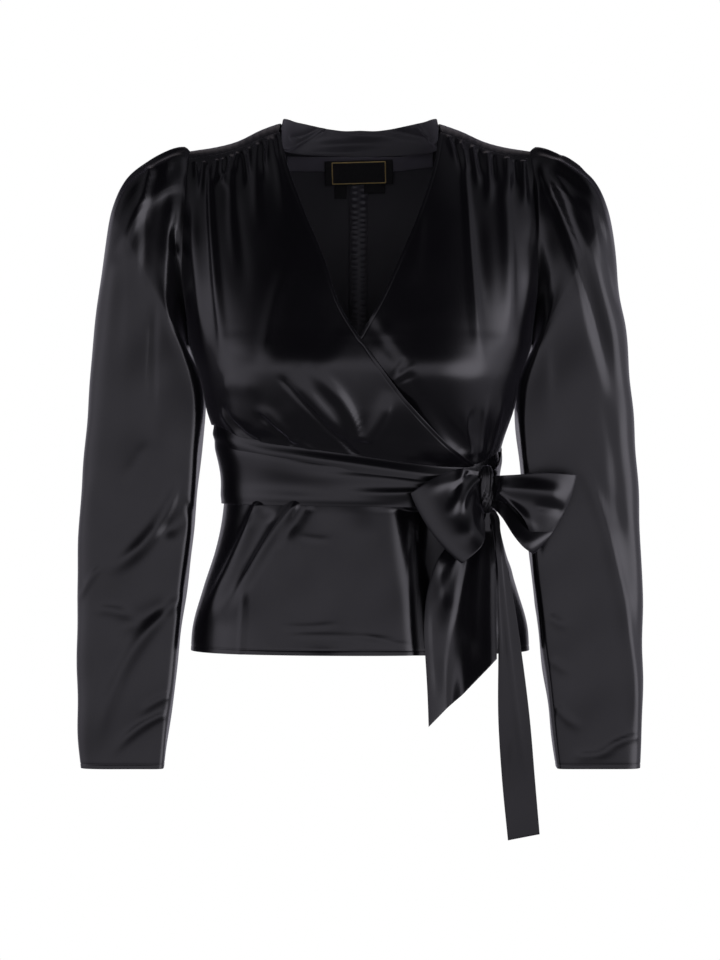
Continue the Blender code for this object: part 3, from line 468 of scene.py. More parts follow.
def yoke_lift(points, rows, columns):
    """The pull of the gathers: short ripples that fade away from the front edge."""
    pull = 0.00015 * np.sin(points[..., 0] * 900 + 1.2) * np.exp(-(columns[0] * 2.5) ** 2)
    return pull * ramp(columns[0], 0.0, 0.1) + uneven(points, 0.0003)


for word, side in SIDES:
    across, height = along_line(SHOULDER_SEAM, np.linspace(0, 1, 61))
    seam = place(across * side, height + 2.5 * SEAM_GAP)
    hole = hole_edge(side, np.linspace(seam[0, 1], YOKE_CLIMB, 41))
    behind = at_climb(side * np.linspace(ARMHOLE[-1, 1], YOKE_ACROSS, 61), YOKE_CLIMB)
    across, climb = [curve(np.linspace(0.006, 0.34, 41), NECK, column) for column in (1, 2)]
    edges = (seam, behind, hole, at_climb(across * side, climb))
    rows, columns = stations(0.10, 0.0016), stations(0.045, 0.0016)
    panel(word + "_yoke", side, edges, rows, columns, yoke_lift, (0.105, 0.058, "hung", 0.0056))

# ---- The fronts. The right one crosses over the left one. Both are gathered into the yokes, hang in
# ---- folds to the bust and are pleated into the waist, and a narrow facing is turned in along the V.

# across, height
RIGHT_EDGE = np.array((
    (-0.0797, 0.005), (-0.0718, -0.028), (-0.0556, -0.0746), (-0.0349, -0.125), (-0.0202, -0.169),
    (0.0144, -0.223), (0.0355, -0.2516), (0.0618, -0.28), (0.0891, -0.3085), (0.112, -0.3255)))
LEFT_EDGE = np.array((
    (0.0797, 0.005), (0.0735, -0.028), (0.059, -0.0746), (0.0385, -0.125), (0.0182, -0.169),
    (-0.016, -0.223), (-0.037, -0.2516), (-0.064, -0.278), (-0.112, -0.2985)))
FRONT_WAIST = np.array((
    (-0.145, -0.285), (-0.0976, -0.302), (-0.06, -0.308), (-0.002, -0.316), (0.0514, -0.3235),
    (0.0868, -0.327), (0.1156, -0.325), (0.137, -0.312)))
FACED_EDGE = np.append(EDGE, (0.0012, 0.0021, 0.0026, 0.0029, 0.0032, 0.0035, 0.0038, 0.0043, 0.0052))
RIGHT_FRONT_FOLDS = (
    (-150, -26, -131, -226, 4, 3, 1.7, 2.2, 0.5, 0.03, 0.3),
    (-128, -16, -118, -150, 4, 3, 2.2, 1.9, 0.5, 0.02, 0.6),
    (-103, -4, -101, -96, 3, 3, 2.2, 1.8, -0.4, 0.02, 0.6),
    (-88, 2, -72, -90, -2, 3.2, 2.4, 1.7, 0.4, 0.02, 0.6),
    (-66, -110, -94, -228, 5, 8.5, 0.9, 1.7, 0.2, 0.4, 0.2),
    (-168, -60, -152, -235, 4, 5, 1.4, 1.8, -0.3, 0.2, 0.4),
    (-137, -19, -129, -52, 3, 2.1, 1.6, 2, 0.4, 0.02, 0.5),
    (-143, -20, -147, -50, 0, 2, 1.6, 1.7, 0, 0.02, 0.5),
    (-132, -17, -146, -46, -3, 1.9, 1.4, -1.7, 0, 0.02, 0.5),
    (-122, -13, -124, -36, 2, 1.9, 1.6, 1.8, 0.3, 0.02, 0.5),
    (-117, -11, -113, -54, -2, 2.1, 1.8, -2.1, 0.2, 0.02, 0.5),
    (-111, -8, -109, -38, 0, 1.9, 1.6, 1.7, 0.2, 0.02, 0.5),
    (-97, -2, -93, -44, 2, 2.1, 1.8, -2.1, -0.2, 0.02, 0.5),
    (-92, 0, -94, -26, 0, 1.8, 1.6, 1.4, 0, 0.02, 0.5),
    (-83, 4, -80, -24, 0, 1.8, 1.6, -1.4, 0, 0.02, 0.5),
    (-156, -22, -160, -60, 0, 2.2, 1.6, 1.8, 0, 0.02, 0.5),
    (-165, -22, -164, -46, 0, 2, 1.5, -1.4, 0, 0.02, 0.6),
    (-131, -40, -116, -170, -2, 7, 1.5, -1.4, 0, 0.2, 0.4),
    (-80, -235, -2, -316, 0, 2.3, 1.2, -2.6, 0, 0.12, 0.02),
    (-70, -232, -12, -296, 1, 8.6, 0.8, 3.8, 0, 0.25, 0.3),
    (-52, -229, 0, -302, -11, 7, 0.85, 4, 0.3, 0.45, 0.12),
    (30, -250, 2, -300, -4, 7.9, 0.9, 4.2, -0.2, 0.35, 0.1),
    (44, -246, 66, -300, 0, 14.3, 1, 2.2, 0, 0.3, 0.4),
    (-134, -262, -100, -302, 6, 2.3, 1.1, -2.9, 0, 0.2, 0.05),
    (-136, -266, -103, -305, 6, 4.4, 1.1, 2, 0.3, 0.2, 0.05),
    (-104, -268, -66, -305, -2, 2.4, 1.1, -2.5, 0, 0.3, 0.03),
    (-100, -262, -62, -303, -3, 5.3, 1, 2.9, 0, 0.3, 0.1),
    (-142, -244, -92, -252, -5, 9.9, 1, 2.6, 0, 0.3, 0.4),
    (-74, -296, -44, -312, -2, 3.2, 1, 1.8, 0.2, 0.2, 0.3),
    (-20, -306, 70, -322, -3, 7.9, 1, 1.7, 0, 0.2, 0.3))
LEFT_FRONT_FOLDS = (
    (104, -8, 120, -232, 0, 3, 2, 2, 0.4, 0.02, 0.3),
    (141, -24, 146, -226, -6, 6, 1.4, 2.3, 0.2, 0.15, 0.35),
    (172, -100, 152, -250, -4, 8, 1.2, 2.2, 0.2, 0.3, 0.4),
    (88, 4, 98, -24, 0, 1.9, 1.6, 1.7, 0.2, 0.02, 0.6),
    (94, 1, 106, -40, 0, 2.1, 1.8, -1.8, 0, 0.02, 0.5),
    (100, -3, 110, -34, 2, 2, 1.6, 1.7, -0.2, 0.02, 0.5),
    (112, -7, 120, -52, 0, 2.2, 1.8, 2.2, 0.3, 0.02, 0.5),
    (118, -10, 122, -38, 0, 1.9, 1.6, -2, 0, 0.02, 0.5),
    (126, -13, 128, -70, -2, 3, 1.8, 2.4, 0, 0.02, 0.5),
    (133, -15, 134, -46, 0, 2, 1.8, -2, 0, 0.02, 0.5),
    (147, -18, 149, -62, 0, 2.8, 1.8, 2.1, 0.2, 0.02, 0.5),
    (155, -20, 157, -50, 0, 2, 1.6, -1.7, 0.2, 0.02, 0.5),
    (163, -21, 165, -72, 0, 2.8, 1.6, 2, 0, 0.02, 0.5), (62, -66, 52, -150, 0, 6, 1.4, 1.2, 0, 0.3, 0.5),
    (30, -180, 10, -236, 0, 7, 1.2, 0.8, 0, 0.3, 0.3),
    (116, -60, 131, -215, 0, 7, 1.3, -1.3, 0, 0.3, 0.4),
    (45, -218, 31, -244, 1, 1.8, 1, -1.5, 0.3, 0.4, 0.05),
    (58, -234, 32, -246, 1, 1.8, 1, -1.4, 0, 0.4, 0.05),
    (56, -224, 33, -244, 1, 3.4, 0.7, 1.6, 0, 0.5, 0.1),
    (60, -256, 98, -320, -6, 13, 1, -2.2, 0, 0.3, 0.1), (50, -262, 76, -296, 2, 1.6, 1, 0.9, 0, 0.3, 0.2),
    (126, -250, 121, -318, 0, 4, 0.7, 1.3, 0, 0.4, 0.1),
    (142, -252, 127, -318, -2, 4, 0.7, 1.4, 0.2, 0.4, 0.1),
    (104, -266, 114, -318, 2, 4, 0.7, 1.2, 0, 0.4, 0.1))


def bust_break(where, across, height, high, wide):
    """Where the cloth falls free of the bust: a ridge along a level line, exp(e - sqrt(v^2 + e^2)) up
    and down, slower above than below, and exp(-u^4) across."""
    x, z = where
    v, u = (z - height) / np.where(z > height, 48, 30), (x - across) / wide
    return high * 0.001 * np.exp(0.2 - np.sqrt(v**2 + 0.04)) * np.exp(-(u**4))


def groove(away, at, wide, deep):
    """A line of stitches or the end of a turned edge, a bell at its distance from the edge."""
    return -deep * np.exp(-(((away - at) / wide) ** 2))


def facing_line(rows):
    return groove(np.where(rows[0] == 1, rows[2], 1.0), 0.0032, 0.0004, 0.00022)[:, None]


def over_lift(points):
    """The right front stands off where the left one lies under it."""
    under = curve(points[..., 2], LEFT_EDGE[:, ::-1])
    return 0.0012 * ramp(points[..., 0], under - 0.030, under - 0.004) * ramp(-points[..., 2], 0.165, 0.205)


def under_drop(points):
    """The left front sinks in where the right one lies over it."""
    inside = curve(points[..., 2], RIGHT_EDGE[:, ::-1]) + 0.030 - points[..., 0]
    return -0.0016 * ramp(inside, 0.0, 0.014) * ramp(-points[..., 2], 0.150, 0.190)


def over_bust(points):
    """What rounds the fronts off level with the underarms: a step of 0.8 mm, smoothed."""
    return 0.0008 * (1 - ramp(points[..., 2], -0.212, -0.194)) * ramp(points[..., 2], -0.300, -0.220)


def right_front_lift(points, rows, columns):
    """The pleats pull this side straight from the bust to a puff over the waist seam."""
    folds = creases(seen(points), RIGHT_FRONT_FOLDS) + bust_break(seen(points), -86, -228, 5.6, 62)
    above = points[..., 2] - curve(points[..., 0], FRONT_WAIST)
    puff = 0.0055 * ramp(above, 0.0, 0.022) * (1 - ramp(above, 0.028, 0.080))
    puff = puff * ramp(points[..., 0], -0.152, -0.112)
    return over_lift(points) + over_bust(points) + folds + puff + facing_line(rows) + uneven(points)


def left_front_lift(points, rows, columns):
    free = ramp(points[..., 0] - curve(points[..., 2], RIGHT_EDGE[:, ::-1]), -0.004, 0.012)
    folds = creases(seen(points), LEFT_FRONT_FOLDS) + bust_break(seen(points), 92, -233, 5.6, 62)
    folds = folds * np.where(points[..., 2] > -0.17, 1, free)
    return under_drop(points) + over_bust(points) + folds + facing_line(rows) + uneven(points)


for (word, side), edge, lift in zip(SIDES, (RIGHT_EDGE, LEFT_EDGE), (right_front_lift, left_front_lift)):
    waist = level_edge(side, edge[-1, 0], FRONT_WAIST, -SEAM_GAP, count=81)
    across, height = along_line(SHOULDER_SEAM, np.linspace(0, 1, 81))
    shoulder = place(across * side, height)
    down = side_edge(side, lower_height(waist[0, 1]), 41)
    outer = np.concatenate([down[::-1], hole_edge(side, np.linspace(0, shoulder[0, 1], 111))[1:]])
    inner = place(*along_line(edge, np.linspace(1, 0, 151)))
    rows, columns = stations(0.22, 0.0021, EDGE, FACED_EDGE), stations(0.30, 0.0021)
    cut = (0.300, 0.350, "gathered", 0.0740)
    panel(word + "_front", side, (waist, shoulder, outer, inner), rows, columns, lift, cut)


# ---- The neck. A folded band of satin stands up round the back of the neck, from one front edge to
# ---- the other. Soft slanting folds run in it where it turns at the shoulders.

BAND_FOLDS = (
    (-78, -9, -34, 21, 0, 1.6, 1.2, -2.4, 0.8, 0.05, 0.1),
    (-72, 4, -26, 22, 2, 3.4, 1.5, 2.7, -0.4, 0.1, 0.3),
    (79, -5, 58, 21, 0, 1.6, 1.2, -2.4, -0.8, 0.05, 0.1),
    (72, 2, 20, 15, 3, 3.4, 1.6, 2.4, 0.3, 0.1, 0.4), (-50, 0, 30, 3, -2, 3.5, 1.2, 1.8, 0.3, 0.3, 0.4),
    (-62, -6, 10, -4, 1, 2.4, 1.2, -1.2, 0, 0.2, 0.4), (-20, 12, 50, 9, -1, 3, 1.3, -1.2, 0, 0.3, 0.4))


def free_sheet(name, grid, rows, columns, lift, tube=False, **kept):
    """A sheet on a free grid of points, whose wall and lift stand along the grid's own normal: the
    cross product of its two ways, by central differences."""
    ways = (np.roll(grid, -1, axis=0) - np.roll(grid, 1, axis=0)) if tube else np.gradient(grid, axis=0)
    normal = unit(np.cross(ways, np.gradient(grid, axis=1)))
    full = columns[3] + 0 * grid[..., 0] if tube else fullness(rows, columns)
    outer, inner = [grid + normal * (lift - CLOTH / 2 * (1 + way * full))[..., None] for way in (-1, 1)]
    return sheet(name, outer, inner, tube=tube, **kept)


def evenly(stationed, length):
    """The shares at which rows lie along a length."""
    share, near, far, _ = stationed
    return share + near / length - far / length


def neck_band():
    """From a level foot inside the neck up to the curved top, leaning in towards it."""
    rows, columns = stations(0.25, 0.0018), stations(0.030, 0.0013)
    way = evenly(rows, 0.25) * 2 - 1
    share = 0.012 + (1 - 0.012) * (1 - np.abs(way))
    across, climb, rise = [curve(share, NECK, column) for column in (1, 2, 3)]
    seam = figure(turn_at(across * np.sign(way), climb), climb)
    top = (seam + np.array([0.0, 0.0, 1.0]) * rise[:, None]) * np.array([0.965, 0.965, 1.0])
    drop = 0.0020 + np.maximum(seam[:, 2] + 0.0078, 0) * ramp(share, 0.03, 0.20)
    foot = seam * np.array([0.99, 0.985, 1.0]) - np.array([0.0, 0.0, 1.0]) * drop[:, None]
    up = evenly(columns, 0.022)[None, :, None]
    grid = foot[:, None] * (1 - up) + top[:, None] * up
    belly = 0.0009 * np.sin(math.pi * up[..., 0]) * ramp(rise, 0.004, 0.014)[:, None]
    lift = belly + creases(flat(grid), BAND_FOLDS)
    free_sheet("neck_band", grid[::-1], rows, columns, lift[::-1], cut=(0.270, 0.036, "folded", 0.0080))


neck_band()

# ---- The label. A black woven label with a plain gold thread border, and two small folded tabs under
# ---- it, all blank, are stitched to the narrow tape that covers the neck seam inside the back.

# across, top, width, height, turn, depth
LABEL = (-0.0015, -0.0102, 0.0700, 0.0245, 1.5, 0.0050)
SIZE_TAB = (-0.0195, -0.0315, 0.0125, 0.0180, -2.0, 0.0031)
CARE_TAB = (0.0148, -0.0300, 0.0215, 0.0140, 1.0, 0.0031)
LABEL_WALL, TAB_WALL, TAPE_WALL = 0.0007, 0.0006, 0.0008
TAPE_REACH, TAPE_TOP, TAPE_WIDTH, TAPE_DEPTH = 0.075, -0.0085, 0.0140, 0.0022


def plain(name, base, roughness, bump, metallic=0.0):
    """Ribbed yarn: two crossed waves in height, and a slow cloud in roughness."""
    material, tree = new_look(name)
    shader = settled(tree.nodes["Principled BSDF"], Base_Color=base, Metallic=metallic)
    coords, ribs = new_node(tree, "TexCoord"), new_node(tree, "TexWave", Scale=2600.0, Distortion=1.0)
    ribs.bands_direction = "Z"
    cloud = new_node(tree, "TexNoise", Scale=400.0)
    level = new_node(tree, "MapRange", To_Min=roughness - 0.1, To_Max=roughness + 0.1)
    height = new_node(tree, "Bump", Strength=bump, Distance=0.0001)
    joined(
        tree, (coords, "Object", ribs, "Vector"), (coords, "Object", cloud, "Vector"),
        (cloud, "Fac", level, "Value"), (level, 0, shader, "Roughness"), (ribs, "Fac", height, "Height"),
        (height, 0, shader, "Normal"))
    return material


# The tape's satin has a base far lighter than the face's: painted light, which stands in for the light that
# the tape catches.
PAINTED_LIGHT_BINDING = satin("neck_binding_painted_lighter", (0.0850, 0.0820, 0.0960, 1.0), 0.38, 0.25, 0.05)
DAMASK = plain("label_damask", (0.0070, 0.0070, 0.0075, 1.0), 0.75, 0.5)
GOLD_THREAD = plain("gold_thread", (0.80, 0.60, 0.24, 1.0), 0.42, 0.6, 0.5)
BLACK_THREAD = plain("black_thread", (0.030, 0.030, 0.034, 1.0), 0.45, 0.6)


def behind_points(across, height, depth):
    """Points inside the back, a depth in front of it, for places across and up."""
    grid = place(across, height, behind=True)
    return lifted(grid[..., 0], grid[..., 1], -depth + 0 * grid[..., 0])


def hung(name, tab, wall, bend, spacing):
    """A tab inside the back: a flat strip turned in its own plane, that curls away at its foot."""
    across, top, width, height, turn, depth = tab
    rows, columns = stations(width, spacing), stations(height, spacing)
    s, t = np.meshgrid(evenly(rows, width) - 0.5, evenly(columns, height), indexing="ij")
    angle = math.radians(turn)
    x = across + s * width * math.cos(angle) + t * height * math.sin(angle)
    z = top + s * width * math.sin(angle) - t * height * math.cos(angle)
    grid = place(x, z, behind=True)
    return on_body(name, grid, -depth - bend * t**2, rows, columns, wall, looks=(DAMASK, DAMASK))


label = hung("label", LABEL, LABEL_WALL, 0.0004, 0.0015)
for name, tab in (("size_tab", SIZE_TAB), ("care_tab", CARE_TAB)):
    hung(name, tab, TAB_WALL, 0.0008, 0.0010)


def thread(name, path, radius, material, closed=False, sides=6):
    """A thread along a path: rings of a few sides square to the path, whose side ways are the cross
    products of the path's own way with the depth."""
    way = (np.roll(path, -1, axis=0) - np.roll(path, 1, axis=0)) if closed else np.gradient(path, axis=0)
    way = unit(way)
    side = unit(np.cross(way, np.array([0.0, 1.0, 0.02])))
    angle = np.linspace(0, 2 * math.pi, sides, endpoint=False)[:, None, None]
    rings = path + radius * (np.cos(angle) * side + np.sin(angle) * np.cross(side, way))
    number = np.arange(sides * len(path)).reshape(sides, len(path))
    whole = np.hstack([number, number[:, :1]]) if closed else number
    faces = cells(whole, around=True)[:, [0, 3, 2, 1]].tolist()
    ends = [] if closed else [number[:, 0].tolist(), number[::-1, -1].tolist()]
    return riding(mesh_of(name, rings, faces + ends, [material]))


def label_border():
    """The border: a rectangle of gold thread inside the label's edge, a little proud of it."""
    across, top, width, height, turn, depth = LABEL
    angle, wide, tall = math.radians(turn), width / 2 - 0.0075, height / 2 - 0.0016
    corner = np.array([(-wide, -tall), (wide, -tall), (wide, tall), (-wide, tall), (-wide, -tall)])
    at = np.linspace(0, 4, 161)[:-1]
    x, z = [np.interp(at, np.arange(5), corner[:, k]) for k in (0, 1)]
    share = (height / 2 - z) / height
    x, z = (across + x * math.cos(angle) + share * height * math.sin(angle),
            top - share * height * math.cos(angle) + x * math.sin(angle))
    path = behind_points(x, z, depth + 0.0008 + 0.0004 * share**2)
    return thread("label_border", path, 0.00056, GOLD_THREAD, closed=True)


label_border()


def neck_tape():
    """The tape lies level across the neck, from one front to the other, a little rounded."""
    rows, columns = stations(2 * TAPE_REACH, 0.0020), stations(TAPE_WIDTH, 0.0014)
    across = (evenly(rows, 2 * TAPE_REACH) * 2 - 1) * TAPE_REACH
    down = evenly(columns, TAPE_WIDTH)
    top = TAPE_TOP + 0.0040 * ramp(across, 0.030, 0.080)
    z = top[:, None] - TAPE_WIDTH * down
    grid = place(across[:, None] + 0 * z, z, behind=True)
    depth = -TAPE_DEPTH + 0.0003 * np.sin(across * 260)[:, None] - 0.0008 * np.sin(math.pi * down)
    # Both faces of the tape take the satin whose lighter base is painted light.
    looks, cut = (PAINTED_LIGHT_BINDING, PAINTED_LIGHT_BINDING), (0.165, 0.0150, "laid")
    on_body("neck_tape", grid, depth, rows, columns, TAPE_WALL, looks=looks, cut=cut)


neck_tape()


ALLOWANCE = satin("seam_allowance", (0.0420, 0.0405, 0.0480, 1.0), 0.42, 0.25, 0.05)
ALLOWANCE_WIDTH, ALLOWANCE_LENGTH, ALLOWANCE_WALL = 0.0190, 0.2500, 0.0007


def seam_allowance():
    """The middle seam's allowance, pressed to one side inside the back: two columns of small puckers
    under the edge stitches, bells across times half a sine along."""
    rows, columns = stations(ALLOWANCE_WIDTH, 0.0009), stations(ALLOWANCE_LENGTH, 0.0012)
    s, t = evenly(rows, ALLOWANCE_WIDTH)[:, None], evenly(columns, ALLOWANCE_LENGTH)
    beat = np.sin(2 * math.pi * (t * 44 + 0.25 * np.sin(t * 31)))
    inner, outer = [np.exp(-(((s - at) / 0.15) ** 2)) for at in (0.27, 0.76)]
    grid = place(BACK_SEAM + 0.0006 + ALLOWANCE_WIDTH * s, -0.028 - ALLOWANCE_LENGTH * t, behind=True)
    puckers = inner * (0.6 + beat) + outer * (0.6 - beat)
    depth = -0.0012 - 0.00045 * puckers - 0.0003 * np.sin(math.pi * s)
    return on_body(
        "seam_allowance", grid, depth, rows, columns, ALLOWANCE_WALL, looks=(ALLOWANCE, ALLOWANCE),
        solid=False, slot="left_back")


def edge_stitches(word, at, aside):
    """The overlocking of one edge of the allowance: a thread that goes to and fro over it."""
    step = np.linspace(0, 1, 561)
    sway = np.abs((step * 94) % 1 * 2 - 1)
    depth = 0.0025 + 0.0003 * np.sin(math.pi * sway)
    path = behind_points(BACK_SEAM + at + aside * sway, -0.029 - 0.247 * step, depth)
    return thread("overlock_" + word, path, 0.00022, BLACK_THREAD, sides=4)


seam_allowance()
edge_stitches("inner", 0.0010, 0.0030)
edge_stitches("outer", 0.0192, -0.0030)

# ---- The sleeves. Each is one tube of satin, gathered full into the armhole and hanging in slanting
# ---- folds to a plain cuff with a narrow turned hem. Its seam lies on the inside of the arm.

# inner x and z, outer x and z, bulge, middle, share of the armhole's shape, share of the gathers
SLEEVE_RINGS = np.array((
    (0.1703, -0.205, 0.1703, -0.012, 0.05, 0, 1, 0),
    (0.1712, -0.2066, 0.177, -0.009, 0.052, 0, 0.85, 0.5),
    (0.172, -0.2085, 0.19, -0.0132, 0.056, 0, 0.6, 1),
    (0.1713, -0.2115, 0.2095, -0.0245, 0.06, 0, 0.3, 0.8),
    (0.1685, -0.216, 0.2315, -0.0425, 0.063, 0, 0.1, 0.5),
    (0.1642, -0.223, 0.2455, -0.0715, 0.064, -0.001, 0, 0.25),
    (0.159, -0.234, 0.253, -0.11, 0.064, -0.002, 0, 0.1),
    (0.1552, -0.25, 0.2592, -0.155, 0.062, -0.003, 0, 0),
    (0.1558, -0.276, 0.2655, -0.21, 0.058, -0.005, 0, 0),
    (0.1593, -0.316, 0.271, -0.275, 0.053, -0.009, 0, 0),
    (0.164, -0.367, 0.276, -0.345, 0.047, -0.012, 0, 0),
    (0.1695, -0.417, 0.2785, -0.403, 0.043, -0.016, 0, 0),
    (0.176, -0.473, 0.28, -0.464, 0.038, -0.02, 0, 0),
    (0.1822, -0.527, 0.28, -0.523, 0.034, -0.024, 0, 0),
    (0.1889, -0.582, 0.2786, -0.581, 0.029, -0.028, 0, 0),
    (0.1942, -0.6243, 0.2766, -0.6243, 0.025, -0.031, 0, 0)))
# half the angle of the gathered head, the power of sines, gaps beside the body and in the armhole
HEAD_SPREAD, BOXY, BODY_GAP, HOLE_GAP = math.radians(78), 0.54, 0.0026, 0.0008
CUFF_EDGE = np.append(EDGE, (0.0012, 0.0022, 0.0032, 0.0040, 0.0046, 0.0052, 0.0060))
RIGHT_SLEEVE_FOLDS = (
    (-208, -28, -244, -118, -4, 4, 1.8, 3, 0.4, 0.05, 0.5),
    (-209, -30, -220, -78, 2, 3, 1.6, 2.2, -0.3, 0.05, 0.6),
    (-190, -22, -199, -44, 0, 3.2, 1.4, 2, 0, 0.1, 0.6),
    (-228, -60, -236, -330, -3, 8, 1.5, 2.3, 0, 0.25, 0.4),
    (-184, -50, -190, -225, 7, 5.5, 1.5, 2.7, 0.2, 0.15, 0.4),
    (-186, -86, -184, -116, 0, 4, 1, -3, 0, 0.4, 0.4),
    (-205, -150, -205, -300, 2, 4.5, 1.5, -2.7, 0.4, 0.3, 0.4),
    (-213, -60, -215, -150, 0, 4.5, 1.4, -1.8, 0, 0.3, 0.5),
    (-246, -90, -262, -250, -4, 6, 1.5, 1.8, 0, 0.3, 0.5),
    (-196, -220, -196, -330, 3, 7, 1.3, 1.4, 0, 0.3, 0.5),
    (-180, -336, -252, -436, -13, 6.5, 1.2, 2.8, 0.7, 0.25, 0.35),
    (-166, -366, -204, -396, -4, 8, 1.2, -2.2, 0, 0.1, 0.4),
    (-174, -452, -262, -612, 19, 6, 1.2, 2.3, -0.4, 0.15, 0.35),
    (-186, -466, -250, -500, 6, 10, 1, -1.7, 0, 0.2, 0.4),
    (-256, -424, -281, -464, 3, 2.4, 1, 1.3, 0.3, 0.3, 0.3),
    (-270, -470, -216, -484, -5, 5, 1, 1, 0, 0.3, 0.5),
    (-192, -574, -250, -620, 6, 4, 1.3, 1.7, 0.5, 0.1, 0.5),
    (-190, -556, -222, -578, 3, 3.4, 1.3, 1.3, 0.3, 0.1, 0.5),
    (-268, -330, -280, -440, 4, 6, 1.2, 1.2, 0, 0.3, 0.4),
    (-212, -300, -238, -345, 0, 5, 1.2, -0.9, 0, 0.3, 0.4))
LEFT_SLEEVE_FOLDS = (
    (179, -26, 258, -285, -9, 5, 1.8, -4.2, -0.5, 0.05, 0.4),
    (192, -30, 262, -240, -9, 5.5, 1.8, 2.6, 0, 0.1, 0.45),
    (176, -40, 186, -170, -4, 6, 1.6, 2.2, 0, 0.1, 0.5),
    (190, -20, 236, -56, -6, 3.4, 1.4, 2.5, 0.4, 0.1, 0.4),
    (199, -18, 226, -36, -3, 3, 1.3, 2, -0.3, 0.1, 0.4),
    (186, -30, 214, -66, -3, 3, 1.3, 1.6, 0.3, 0.1, 0.5),
    (232, -60, 264, -186, -5, 3.8, 1.4, -3.1, 0.4, 0.25, 0.4),
    (222, -52, 250, -120, -5, 5, 1.5, 2, 0, 0.3, 0.5),
    (180, -170, 190, -330, 0, 8, 1.4, 1.3, 0, 0.3, 0.4),
    (240, -240, 262, -420, -5, 7, 1.2, -1.4, 0, 0.3, 0.4),
    (224, -320, 279, -616, -14, 6, 1.2, 2.5, 0.6, 0.2, 0.2),
    (252, -350, 274, -470, -5, 7, 1.2, -1.4, 0, 0.3, 0.4),
    (190, -476, 212, -488, 2, 4, 1.2, 0.9, 0, 0.1, 0.6),
    (192, -520, 216, -534, 2, 4, 1.2, 0.9, 0, 0.1, 0.6),
    (198, -566, 226, -590, 3, 4, 1.2, 1.1, 0.3, 0.1, 0.6),
    (280, -596, 236, -618, 3, 3.4, 1.3, 1.4, 0.3, 0.1, 0.5),
    (210, -616, 262, -608, 3, 4, 1, 0.9, 0, 0.3, 0.4))


def round_the_body(share, square):
    """The other way across a superellipse of half width one: (1 - share^n)^(1/n)."""
    return np.clip(1 - share**square, 0, 1) ** (1 / square)


def clear_of_body(points):
    """Points of a sleeve, moved aside where they would come too near the body."""
    x, y, z = np.moveaxis(points, -1, 0)
    width, square = curve(z, SECTIONS, 1), curve(z, SECTIONS, 4)
    depth = np.where(y < 0, curve(z, SECTIONS, 2), curve(z, SECTIONS, 3))
    near = np.maximum(x, width * round_the_body(np.abs(y) / depth, square) + BODY_GAP)
    return together(np.where(z < UNDERARM - 0.001, near, x), y, z)


def squared(wave):
    """A sine or cosine raised to 0.54 with its sign kept, which makes an ellipse boxier."""
    return np.sign(wave) * np.abs(wave) ** BOXY


def front_and_back(angle, folded):
    """The sleeve's depth at each angle for a width of squared(cos): (1 - |width|^n)^(1/n), where n is
    2/0.54, and on the inner side up to 9 where the cloth is folded."""
    width = squared(np.cos(angle))
    power = 2 / BOXY + (9 - 2 / BOXY) * folded * (width < 0)
    return np.sign(np.sin(angle)) * round_the_body(np.abs(width), power)


def gathers(angle, along, full):
    """How far the head stands out over the top of the armhole: six broad folds of 3 mm and seventeen
    small ones of 1.4 mm, each (1 - cos)/2 across, which fade down the sleeve and to both sides."""
    way = angle / HEAD_SPREAD + 1
    broad = 0.5 - 0.5 * np.cos(6 * math.pi * way)
    small = 0.5 - 0.5 * np.cos(17 * math.pi * way + 1.4 * np.sin(5 * angle))
    top = np.clip(np.abs((angle + math.pi) % (2 * math.pi) - math.pi) / HEAD_SPREAD, 0, 1)
    top = np.where(top < 1, 1 - ramp(top, 0.85, 1.0), 0)
    return top * (0.0030 * broad * full + 0.0014 * small * ramp(along, 0.0, 0.006) * np.exp(-along / 0.030))


